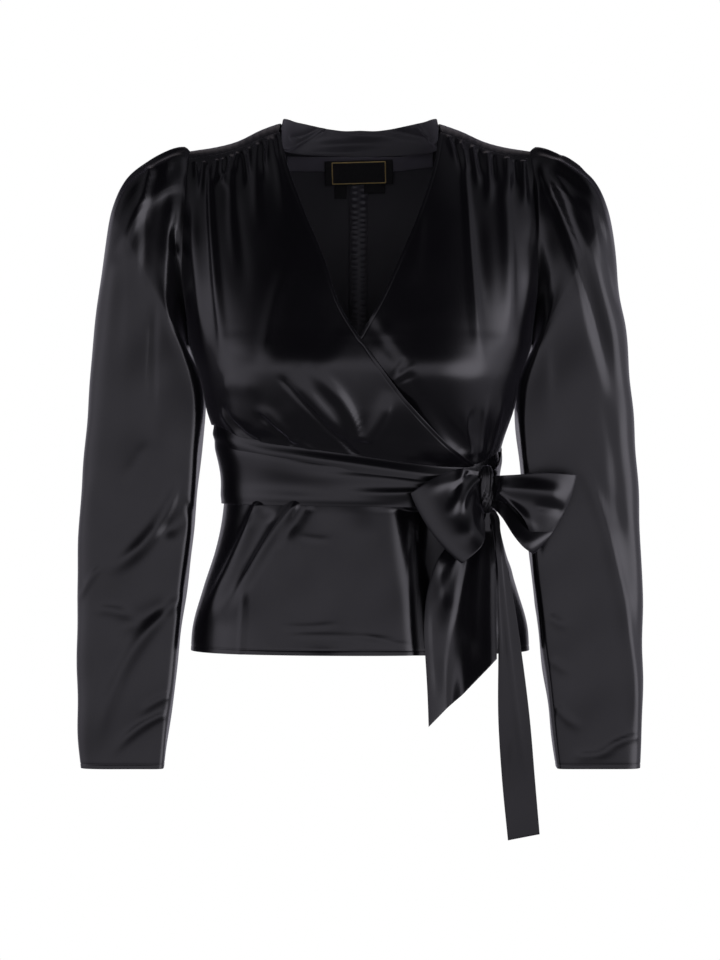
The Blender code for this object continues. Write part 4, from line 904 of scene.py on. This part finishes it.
def sleeve(name, side, folds, hidden):
    """Rings from the armhole to the cuff: x and z go from the inner to the outer point with the
    cosine of the angle, and y is the middle less the bulge times its sine, both of them squared."""
    fine = np.linspace(0, 2 * math.pi, 4001)
    travelled = run_along(squared(np.cos(fine)), squared(np.sin(fine)))
    angle = np.interp(np.linspace(0, travelled[-1], 129)[:-1], travelled, fine)[:, None]
    length = run_along(*SLEEVE_RINGS[:, 2:4].T)
    columns = stations(length[-1], 0.0030, EDGE, CUFF_EDGE)
    along = evenly(columns, length[-1]) * length[-1]
    at = np.interp(evenly(columns, length[-1]), length / length[-1], np.arange(len(length)))
    rings = np.column_stack([np.arange(len(length)), SLEEVE_RINGS])
    inner_x, inner_z, outer_x, outer_z, bulge, middle, keep, full = [curve(at, rings, k) for k in range(1, 9)]
    keep, full = np.clip(keep, 0, 1), np.clip(full, 0, 1)
    share = (1 + squared(np.cos(angle))) / 2
    x, z = inner_x + (outer_x - inner_x) * share, inner_z + (outer_z - inner_z) * share
    climbs = place(np.full(len(angle), inner_x[0]), z[:, 0])[:, 1]
    hole = hole_edge(LEFT, np.where(np.sin(angle[:, 0]) < 0, 2 - climbs, climbs))
    hole = figure(hole[:, 0], hole[:, 1])[:, None]
    folded = ramp(-inner_z, 0.21, 0.31)
    depth = front_and_back(angle, folded) * bulge * (1 - 0.16 * folded)
    ring = together(
        x + keep * (hole[..., 0] - HOLE_GAP - x[:, :1]), keep * hole[..., 1] + (1 - keep) * (middle - depth),
        z + keep * (hole[..., 2] - z[:, :1]))
    line = unit(together(outer_x - inner_x, 0, outer_z - inner_z))
    away = np.cos(angle)[..., None] * line - np.sin(angle)[..., None] * np.array([0.0, 1.0, 0.0])
    grid = clear_of_body(ring + gathers(angle, along, full)[..., None] * away)
    mirror = np.array([side, 1.0, 1.0])
    front, behind = ramp(np.sin(angle), -0.15, 0.25), ramp(-np.sin(angle), -0.15, 0.25)
    across, up = seen(grid * mirror)
    lift = front * creases((across, up), folds) + behind * 0.9 * creases((-across, up + 6), hidden)
    lift = lift + groove(np.where(columns[0] == 1, columns[2], 1.0), 0.0046, 0.0006, 0.0003)
    lift = (lift + uneven(grid * mirror, 0.0007)) * ramp(along, 0.0, 0.004)
    grid = clear_of_body(grid + lift[..., None] * away)
    grid = grid if side == LEFT else (grid * mirror)[::-1]
    free_sheet(name, grid, None, columns, 0.0, tube=True, cut=(0.420, 0.665, "gathered", 0.2050))


sleeve("right_sleeve", RIGHT, RIGHT_SLEEVE_FOLDS, LEFT_SLEEVE_FOLDS)
sleeve("left_sleeve", LEFT, LEFT_SLEEVE_FOLDS, RIGHT_SLEEVE_FOLDS)

# ---- The waist and the peplum. A narrow band is sewn under the bodice, and the peplum hangs from it
# ---- to a narrow stitched hem, folded where the sash pulls it in and swung clear of the tails.

BAND_HEIGHT, SKIRT_TOP = 0.035, -0.340
HEM_EDGE = np.append(EDGE, (0.0013, 0.0025, 0.0036, 0.0044, 0.0050, 0.0056, 0.0064, 0.0076))
RIGHT_PEPLUM_FOLDS = (
    (-98, -362, -160, -486, -3, 4.6, 1.5, 3.6, 0.6, 0.03, 0.4),
    (-101, -374, -146, -474, -3, 3.4, 1.3, 2, 0.4, 0.15, 0.5),
    (-61, -362, -138, -482, 2, 5, 1.5, 3.6, 0.7, 0.03, 0.4),
    (-63, -366, -82, -410, 0, 2.6, 1.2, 1.6, 0.5, 0.05, 0.5),
    (-88, -372, -140, -484, 0, 6, 1.4, -2.4, 0, 0.1, 0.3),
    (-52, -366, -74, -400, 0, 5, 1.3, -1.6, 0, 0.05, 0.5),
    (-114, -446, -119, -520, 0, 2.6, 1, 1.3, 1, 0.3, 0.02),
    (-30, -364, -36, -520, 0, 15, 1, -1, 0, 0.2, 0.1), (2, -364, 8, -520, 0, 12, 1.2, 1, 0, 0.2, 0.2),
    (-62, -396, -28, -400, 1, 3, 1, 0.25, 0, 0.3, 0.3),
    (-82, -486, -18, -483, 2, 2.6, 1, 0.25, 0, 0.3, 0.3),
    (-76, -496, 40, -500, -2, 2.4, 1, 0.25, 0, 0.2, 0.2),
    (0, -494, 56, -506, 2, 2.4, 1, 0.3, 0, 0.3, 0.3),
    (68, -362, 76, -522, 0, 21, 0.8, -12.5, 0, 0.05, 0.01),
    (66, -362, 76, -522, 0, 33, 0.6, -9, 0, 0.05, 0.95))
LEFT_PEPLUM_FOLDS = (
    (146, -420, 160, -500, 3, 4, 1.4, 1.8, 0.4, 0.2, 0.3),
    (150, -380, 156, -440, 0, 4, 1.4, 1.2, 0, 0.2, 0.3),
    (68, -362, 76, -522, 0, 21, 0.8, -12.5, 0, 0.05, 0.01),
    (66, -362, 76, -522, 0, 33, 0.6, -9, 0, 0.05, 0.95))
BACK_PEPLUM_FOLDS = (
    (-56, -362, -76, -540, 0, 12, 1.4, 4, 0.3, 0.08, 0.05),
    (-96, -362, -140, -540, 0, 12, 1.4, 4.4, -0.3, 0.08, 0.05),
    (42, -362, 58, -540, 0, 12, 1.4, 4, -0.3, 0.08, 0.05),
    (92, -362, 134, -540, 0, 12, 1.4, 4.4, 0.3, 0.08, 0.05),
    (-20, -362, -24, -450, 0, 7, 1.5, 1.2, 0, 0.1, 0.6),
    (14, -362, 20, -440, 0, 6, 1.5, 1.1, 0, 0.1, 0.6))


def hem_line(columns, at):
    """The row of stitches above the hem, which lies at the start or the end of the columns."""
    away = np.where(columns[0] == at, columns[1 + at], 1.0)
    return groove(away, 0.0050, 0.0006, 0.00030)


def below_waist(name, side, ends, heights, drops, lift, cut, behind=False):
    """A strip from a side seam to an edge, between two drops below the table of heights."""
    top = level_edge(side, ends[0], heights, drops[0], behind)
    low = level_edge(side, ends[1], heights, drops[1], behind)
    peplum = drops[1] > BAND_HEIGHT
    if peplum:
        low[:, 1] = 2 - lower_climb(HEM) if behind else lower_climb(HEM)
    share = np.linspace(0, 1, 61)[:, None]
    start, end = top[0] + (low[0] - top[0]) * share, top[-1] + (low[-1] - top[-1]) * share
    edges = (top, low, start, end) if behind else (low, top, start[::-1], end[::-1])
    length, low_rows = (0.17, HEM_EDGE) if peplum else (0.035, EDGE)
    columns = stations(length, 0.0020, *((EDGE, low_rows) if behind else (low_rows, EDGE)))
    rows = stations(0.24 if side == RIGHT and not behind else 0.19, 0.0021)
    panel(name, side, edges, rows, columns, lift, cut)


def folds_lift(folds, base=None, hem_at=None):
    """The lift of a strip: what it stands off, its folds and its hem's stitches."""
    def lift(points, rows, columns):
        height = creases(seen(points) if base else flat(points), folds) + uneven(points)
        height = height + base(points) if base else height
        return height if hem_at is None else height + hem_line(columns, hem_at)
    return lift


def straight(base):
    """The peplum's middle hangs in a straight line, from 94 mm in front of the waist's middle at the
    sash to 16.5 mm further out at the hem."""
    def lift(points):
        share = np.clip((SKIRT_TOP - points[..., 2]) / (SKIRT_TOP - HEM), 0, 1)
        line = 0.0940 + 0.0165 * share - curve(points[..., 2], SECTIONS, 2)
        return base(points) + line * ramp(share, 0.0, 0.2) * (1 - ramp(np.abs(points[..., 0]), 0.080, 0.145))
    return lift


def flared(base, heights):
    """The waistband leans out to the sash that covers most of it, by 4.4 mm from 2 mm inside."""
    return lambda points: base(points) - 0.0020 + 0.0044 * ramp(
        curve(points[..., 0], heights) - points[..., 2], -0.001, 0.010)


band, skirt = (-0.0012, BAND_HEIGHT), (BAND_HEIGHT + 2 * SEAM_GAP, 1.0)
for (word, side), ends, over, folds, cuts in zip(
        SIDES, ((0.1150, 0.1190), (-0.0900, -0.0600)), (over_lift, under_drop),
        (RIGHT_PEPLUM_FOLDS, LEFT_PEPLUM_FOLDS), (
            ((0.335, 0.036, "hung"), (0.410, 0.160, "hung", 0.0600)),
            ((0.290, 0.036, "hung"), (0.335, 0.160, "hung", 0.0480)))):
    lift = folds_lift((), flared(over, FRONT_WAIST))
    below_waist(word + "_front_waistband", side, (ends[0],) * 2, FRONT_WAIST, band, lift, cuts[0])
    lift = folds_lift(folds, straight(over), 0)
    below_waist(word + "_front_peplum", side, ends, FRONT_WAIST, skirt, lift, cuts[1])
for (word, side), cuts in zip(SIDES, (
        ((0.188, 0.036, "hung"), (0.240, 0.165, "hung", 0.0380)),
        ((0.200, 0.036, "hung"), (0.255, 0.165, "hung", 0.0395)))):
    ends = (BACK_SEAM + side * SEAM_GAP / 2,) * 2
    lift = folds_lift((), flared(lambda points: 0.0, BACK_WAIST))
    below_waist(word + "_back_waistband", side, ends, BACK_WAIST, band, lift, cuts[0], behind=True)
    lift = folds_lift(BACK_PEPLUM_FOLDS, None, 1)
    below_waist(word + "_back_peplum", side, ends, BACK_WAIST, skirt, lift, cuts[1], behind=True)

# ---- The sash. A long folded band of satin goes once round the waist to the knot on the left front.
# ---- It lies smooth, and draws together into long folds as it runs up to the knot.

SASH_WIDTH, SASH_WALL, SASH_STAND, SASH_HUG = 0.064, 0.0012, 0.0046, 0.0024
# turn, top, bottom, forward
SASH_FRONT = np.array((
    (-89.9, -0.297, -0.3635, 0), (-50, -0.305, -0.3645, 0), (-5, -0.3225, -0.366, 0),
    (20, -0.331, -0.3668, 0), (44, -0.337, -0.3665, 0), (53.8, -0.34, -0.363, 0.004)))
SASH_BACK = np.array((
    (-89.9, -0.297, -0.3635, 0), (-40, -0.2985, -0.363, 0), (10, -0.301, -0.362, 0),
    (60, -0.304, -0.358, 0), (90, -0.312, -0.354, 0), (98, -0.323, -0.351, 0.009),
    (107.5, -0.33, -0.35, 0.033)))
SASH_FRONT_FOLDS = (
    (86, -343, -60, -330, 3, 3, 1.6, -1.2, 0.5, 0.1, 0.5),
    (86, -350, -30, -352, -3, 3.2, 1.8, 1.3, 0.3, 0.1, 0.5),
    (84, -358, 0, -364, -2, 3, 1.6, -1.1, 0.4, 0.1, 0.5),
    (-130, -318, 20, -342, 3, 9, 1, 0.9, 0, 0.3, 0.4),
    (-136, -345, -20, -352, -2, 8, 1, -0.7, 0, 0.3, 0.4))
SASH_BACK_FOLDS = (
    (-120, -318, 60, -322, 3, 6, 1.3, 0.9, 0.3, 0.3, 0.4),
    (-60, -344, 120, -338, -3, 6, 1, -0.9, 0.3, 0.3, 0.3),
    (40, -312, 140, -322, 2, 4, 1, 0.9, 0, 0.3, 0.3))


def sash(name, rows_at, length, folds, behind):
    """A stretch of the sash: it stands off the waist, less two bells at its edges, where it hugs the
    body, and it is moved forward where it runs into the knot."""
    width = 0.062
    rows, columns = stations(length, 0.0021), stations(width, 0.0020)
    turns = rows_at[0, 0] + (rows_at[-1, 0] - rows_at[0, 0]) * evenly(rows, length)
    top, bottom, forward = [curve(turns, rows_at, k)[:, None] for k in (1, 2, 3)]
    share, around = evenly(columns, width), turns[:, None] > 90
    climb = lower_climb(top + (bottom - top) * share)
    if behind:
        climb = np.where(around, climb, 2 - climb)
    turn = np.clip(np.where(around, 180 - turns[:, None], turns[:, None]), -89.92, 89.94)
    points = figure(turn, climb)
    top_edge, low_edge = [
        np.exp(-((away * SASH_WIDTH / wide) ** 2)) for away, wide in ((share, 0.007), (1 - share, 0.006))]
    lift = SASH_STAND - SASH_HUG * (top_edge + 0.7 * low_edge) + creases(flat(points), folds) + uneven(points)
    shift = np.array([0.0, -1.0, 0.0]) * forward[..., None]
    grid = together(turn, climb)
    return on_body(name, grid, lift, rows, columns, SASH_WALL, not behind, shift, looks=(FACE, FACE))


sash_front = sash("sash_front", SASH_FRONT, 0.27, SASH_FRONT_FOLDS, behind=False)
sash_back = sash("sash_back", SASH_BACK, 0.42, SASH_BACK_FOLDS, behind=True)

# ---- The bow. The sash's two ends are tied in it: a tight knot with folds running round it, a loop to
# ---- each side whose cloth fans out of the knot, and two tails cut on a slant.

KNOT_AT, KNOT_HALF = np.array([0.1232, -0.0700, -0.3490]), np.array([0.0080, 0.0130, 0.0235])
KNOT_FOLDS = (
    (125, -325, 118, -366, -5, 0.9, 1, -1.9, 0.5, 0.02, 0.1),
    (130, -327, 120, -371, -5.5, 0.9, 1, -1.9, 0.5, 0.05, 0.05),
    (134, -342, 124, -375, -2.5, 0.8, 1, -1.4, 0.3, 0.2, 0.05),
    (121, -328, 116, -352, -2, 0.8, 1, -1, 0.3, 0.1, 0.3))


def knot():
    """The knot: a closed roll, an ellipse across with a waistless outline (1 - |v|^3.5)^0.4."""
    around = np.linspace(0, 2 * math.pi, 97)[:-1][:, None]
    up = np.concatenate([[-1.0], np.sin(np.linspace(-1.42, 1.42, 57)), [1.0]])
    bulge = np.clip(1 - np.abs(up * 0.97) ** 3.5, 0, 1) ** 0.4 * np.where(np.abs(up) == 1, 0.5, 1.0)
    ring = together(squared(np.cos(around)) * bulge, squared(np.sin(around)) * bulge, up)
    points = KNOT_AT + KNOT_HALF * ring
    fold = creases(seen(points), KNOT_FOLDS) + 0.0002 * np.cos(9 * around + 2 * up)
    points = points + (fold - 0.0004)[..., None] * ring * np.array([1.0, 1.0, 0.0])
    number = np.arange(points[..., 0].size).reshape(points.shape[:2])
    ends = [number[::-1, 0].tolist(), number[:, -1].tolist()]
    mesh = mesh_of("bow_knot_cloth", points, cells(number, around=True).tolist() + ends, [FACE])
    span = together(np.arange(96)[:, None] * 0.0007, (up + 1) * KNOT_HALF[2])
    loops = np.array([corner.vertex_index for corner in mesh.loops])
    mesh.uv_layers.new(name="cloth").data.foreach_set("uv", span.reshape(-1, 2)[loops].ravel())
    return riding(mesh, "bow_knot")


knot()

ROOT_ANGLE, LOOP_GAP = 0.05, 0.0110
# out, x and z of the top edge, x and z of the bottom edge, depth, x and z of the hidden leaf's bottom
RIGHT_LOOP = np.array((
    (0, 0.119, -0.332, 0.119, -0.367, -0.073, 0.119, -0.367),
    (0.35, 0.096, -0.329, 0.1215, -0.385, -0.085, 0.119, -0.384),
    (0.7, 0.068, -0.34, 0.1175, -0.4035, -0.1, 0.114, -0.403),
    (1, 0.049, -0.3525, 0.0985, -0.421, -0.109, 0.098, -0.4205)))
LEFT_LOOP = np.array((
    (0, 0.1275, -0.336, 0.1275, -0.362, -0.0725, 0.1275, -0.364),
    (0.35, 0.149, -0.335, 0.1455, -0.364, -0.088, 0.1375, -0.376),
    (0.7, 0.18, -0.333, 0.161, -0.383, -0.095, 0.15, -0.396),
    (1, 0.21, -0.335, 0.169, -0.41, -0.091, 0.1645, -0.4125)))
RIGHT_LOOP_FOLDS = (
    (103, -324, 90, -378, -4, 4, 1.3, 2.4, 0.3, 0.02, 0.4),
    (110, -332, 92, -360, 2, 2.6, 1.4, -2.2, 0, 0.1, 0.4),
    (121, -338, 103, -376, 6, 3, 1.2, 2.4, 0.4, 0.05, 0.3),
    (124, -352, 116, -392, 3, 3, 1.5, -1, 0, 0.1, 0.5),
    (122, -366, 98, -404, -2, 5, 1.8, 1.3, 0.2, 0.1, 0.5),
    (112, -340, 62, -352, 3, 3, 2.4, 0.9, 0.3, 0.2, 0.4))
LEFT_LOOP_FOLDS = (
    (138, -351, 212, -362, -3, 8.5, 1.4, 3.4, -0.5, 0.05, 0.3),
    (172, -366, 209, -372, -2, 5, 1.1, -1.5, 0.2, 0.3, 0.3),
    (138, -352, 178, -398, -4, 2.4, 2.6, 1.4, 0.3, 0.05, 0.4),
    (138, -358, 160, -384, -2, 1.6, 1.8, -1, 0, 0.05, 0.4))


def loop(name, side, table, folds, belly, curl, length):
    """A loop: the ribbon runs out from the knot, folds over and comes back behind, out = sin(a)^0.8
    and depth = y - gap * cos(a) for a from near 0 to near pi. Its far end is bowed outwards by the
    belly, and the lower part of the hidden leaf curls forward."""
    run, width = 0.17, 0.060
    rows, columns = stations(run, 0.0015), stations(width, 0.0016)
    angle = ROOT_ANGLE + (math.pi - 2 * ROOT_ANGLE) * evenly(rows, run)
    root = math.sin(ROOT_ANGLE) ** 0.8
    out = np.clip((np.sin(angle) ** 0.8 - root) / (1 - root), 0, 1)[:, None]
    top_x, top_z, bottom_x, bottom_z, y, hidden_x, hidden_z = [curve(out, table, k) for k in range(1, 8)]
    behind = np.cos(angle)[:, None]
    hidden = ramp(-behind, -0.3, 0.6)
    bottom_x, bottom_z = bottom_x + (hidden_x - bottom_x) * hidden, bottom_z + (hidden_z - bottom_z) * hidden
    share = evenly(columns, width)
    bowed = out**2 * np.sin(math.pi * share) ** 0.8
    gap = LOOP_GAP * (0.30 + 0.70 * out)
    grid = together(
        top_x + (bottom_x - top_x) * share + belly[0] * bowed,
        y - gap * behind - curl * gap * hidden * ramp(share, 0.45, 1.0),
        top_z + (bottom_z - top_z) * share + belly[1] * bowed)
    leaf = np.where(behind > 0, 1.0, 0.5) * ramp(np.abs(behind), 0.0, 0.35)
    lift = creases(seen(grid), folds) * leaf + uneven(grid)
    if side == LEFT:
        grid, lift, rows = grid[::-1], lift[::-1], tuple(row[::-1] for row in rows)
    free_sheet(name, grid, rows, columns, lift, looks=(FACE, FACE), cut=(length, SASH_WIDTH, "folded"))


loop("bow_loop_right", RIGHT, RIGHT_LOOP, RIGHT_LOOP_FOLDS, (-0.0050, -0.0040), 0.0, 0.170)
loop("bow_loop_left", LEFT, LEFT_LOOP, LEFT_LOOP_FOLDS, (0.0070, -0.0030), 1.75, 0.150)

# gap in front of the peplum, the leaning plane's depth and top, how far its edge is turned back
TAIL_GAP, PLANE_AT, PLANE_TOP, TURNED_BACK = 0.0050, 0.0745, -0.390, 0.0035
# height, left, right, depth
WIDE_TAIL = np.array((
    (-0.369, 0.119, 0.127, 0.0712), (-0.3729, 0.118, 0.1275, 0.072), (-0.39, 0.1, 0.13, 0.0745),
    (-0.411, 0.079, 0.1315, 0.079), (-0.435, 0.068, 0.132, 0.083), (-0.47, 0.062, 0.132, 0.0865),
    (-0.5125, 0.0662, 0.132, 0.088)))
NARROW_TAIL = np.array((
    (-0.369, 0.1225, 0.131, 0.0735), (-0.3729, 0.125, 0.134, 0.0742), (-0.39, 0.129, 0.137, 0.0775),
    (-0.42, 0.1335, 0.142, 0.081), (-0.465, 0.1345, 0.151, 0.082), (-0.506, 0.1345, 0.157, 0.082),
    (-0.572, 0.1345, 0.1652, 0.082), (-0.633, 0.1385, 0.1705, 0.08), (-0.685, 0.144, 0.175, 0.079)))
WIDE_TAIL_FOLDS = (
    (112, -380, 82, -560, 5, 5, 2, 1.6, 0.3, 0.03, 0.3),
    (116, -376, 78, -470, 3, 2.6, 2.4, 1.2, 0.3, 0.1, 0.4),
    (84, -420, 88, -470, 2, 4, 1.2, -1, 0, 0.3, 0.4), (72, -460, 78, -560, 0, 4, 1, -0.8, 0, 0.3, 0.3),
    (122, -396, 116, -520, 3, 4.5, 1.2, 1.6, 0.3, 0.2, 0.2),
    (108, -430, 106, -510, 2, 3.5, 1.2, 0.9, 0.3, 0.3, 0.3))
NARROW_TAIL_FOLDS = (
    (132, -376, 142, -560, -2, 1.6, 2.6, 1, 0.5, 0.05, 0.4),
    (138, -390, 166, -640, 2, 2, 2, 0.8, 0.3, 0.1, 0.3),
    (150, -600, 146, -690, 0, 2.6, 1, -0.6, 0, 0.3, 0.1))


def tail(name, table, slant, folds, slope, cut):
    """A tail in front of the peplum. Its end is cut on a slant: the left side runs lower, or the right
    one, as the share down^6. Its right half hangs in a plane that leans out by a slope."""
    top, bottom = table[:, 0].max(), table[:, 0].min()
    run, width = top - bottom, 0.05
    rows, columns = stations(run, 0.0018), stations(width, 0.0016)
    down, over = np.meshgrid(evenly(rows, run), evenly(columns, width), indexing="ij")
    height = top - run * down
    left, right, depth = [curve(height, table, k) for k in (1, 2, 3)]
    x, z = left + (right - left) * over, height + slant * (1 - over) * down**6
    width, front, square = [curve(z, SECTIONS, k) for k in (1, 2, 4)]
    out = np.maximum(depth, front * round_the_body(np.abs(x) / width, square) + TAIL_GAP)
    plane = PLANE_AT + slope * np.maximum(PLANE_TOP - z, 0) - TURNED_BACK * ramp(over, 0.90, 1.0)
    out = out + np.maximum(plane - out, 0) * ramp(over, 0.28, 0.54) * (slope > 0)
    grid = together(x, -out, z)
    lift = creases(seen(grid), folds) + uneven(grid)
    grid, lift = grid[::-1].swapaxes(0, 1), lift[::-1].T
    free_sheet(name, grid, columns, tuple(row[::-1] for row in rows), lift, cut=cut)


tail("wide_tail", WIDE_TAIL, -0.0655, WIDE_TAIL_FOLDS, 0.30, (0.064, 0.215, "hung", 0.0118))
tail("narrow_tail", NARROW_TAIL, -0.0060, NARROW_TAIL_FOLDS, 0.0, (0.026, 0.315, "hung"))

# ---- The studio: a white floor and a white surround, a wide soft light from the front that comes from
# ---- no higher than the shoulders, a dim ceiling, and the camera straight in front.


def staged(name):
    """The mesh made last, as a plain white part of the studio that casts nothing on the top."""
    material, tree = new_look(name)
    tree.nodes.clear()
    glow = new_node(tree, "Emission", Color=(1.0, 1.0, 1.0, 1.0), Strength=1.0)
    joined(tree, (glow, 0, new_node(tree, "OutputMaterial"), "Surface"))
    piece = bpy.context.object
    piece.name = name
    piece.data.materials.append(material)
    piece.visible_diffuse = piece.visible_glossy = piece.visible_shadow = False


bpy.ops.mesh.primitive_uv_sphere_add(segments=48, ring_count=24, radius=14)
staged("surround")
bpy.ops.mesh.primitive_circle_add(vertices=96, radius=13.6, fill_type="NGON", location=(0, 0, -1.35))
staged("floor")

world = bpy.data.worlds.new("studio")
bpy.context.scene.world = world
world.use_nodes = True
tree = world.node_tree
background = tree.nodes["Background"]
coords, parts = new_node(tree, "TexCoord"), new_node(tree, "SeparateXYZ")
height, level = new_node(tree, "MapRange", From_Min=-1.0), new_node(tree, "ValToRGB")
# height of the direction, brightness
stops = (
    (-1, 0.1), (-0.6, 0.14), (-0.42, 0.28), (-0.3, 0.48), (-0.15, 0.7), (0, 0.83), (0.14, 0.88),
    (0.21, 0.74), (0.27, 0.3), (0.33, 0.05), (0.42, 0.015), (1, 0.015))
level.color_ramp.elements[0].position, level.color_ramp.elements[1].position = 0.0, 1.0
for z, value in stops:
    ends = {-1: level.color_ramp.elements[0], 1: level.color_ramp.elements[-1]}
    stop = ends.get(z) or level.color_ramp.elements.new((z + 1) / 2)
    stop.color = (0.94 * value, 0.905 * value, 1.03 * value, 1.0)


def spread(source, output, low, high, least, most):
    """A value that goes smoothly from least to most as an output of its source goes from low to high."""
    value = new_node(tree, "MapRange", From_Min=low, From_Max=high, To_Min=least, To_Max=most)
    value.interpolation_type = "SMOOTHSTEP"
    joined(tree, (source, output, value, "Value"))
    return value


# direction, where it starts and is full as a cosine, colour
LAMPS = (
    ((1.0, 0.0, 0.0), 0.50, 0.90, (0.25, 0.24, 0.28)), ((-1.0, 0.0, 0.0), 0.60, 0.95, (0.16, 0.15, 0.18)),
    ((0.85, -0.50, -0.08), 0.86, 0.98, (1.50, 1.45, 1.60)),
    ((-0.75, 0.0, 0.66), 0.70, 0.96, (0.10, 0.10, 0.11)), ((0.75, 0.0, 0.66), 0.70, 0.96, (0.10, 0.10, 0.11)),
    ((0.0, 0.70, 0.71), 0.91, 0.99, (0.42, 0.375, 0.37)))
total = level
for way, low, high, color in LAMPS:
    dot, tinted, add = [new_node(tree, "VectorMath") for _ in range(3)]
    dot.operation, tinted.operation = "DOT_PRODUCT", "SCALE"
    dot.inputs[1].default_value, tinted.inputs[0].default_value = way, color
    joined(
        tree, (coords, "Generated", dot, 0), (total, 0, add, 0),
        (spread(dot, "Value", low, high, 0.0, 1.0), 0, tinted, "Scale"), (tinted, 0, add, 1))
    total = add
joined(
    tree, (coords, "Generated", parts, "Vector"), (parts, "Z", height, "Value"), (height, 0, level, "Fac"),
    (total, 0, background, "Color"), (spread(parts, "Y", -0.2, 0.6, 1.0, 0.45), 0, background, "Strength"))

camera = bpy.data.objects.new("camera", bpy.data.cameras.new("camera"))
camera.location = (0.0, -3.0, -0.340)
camera.rotation_euler = (math.pi / 2, 0.0, 0.0)
camera.data.lens, camera.data.sensor_width = 112.5, 36.0
bpy.context.scene.collection.objects.link(camera)
bpy.context.scene.camera = camera
bpy.context.scene.view_settings.view_transform = "Standard"
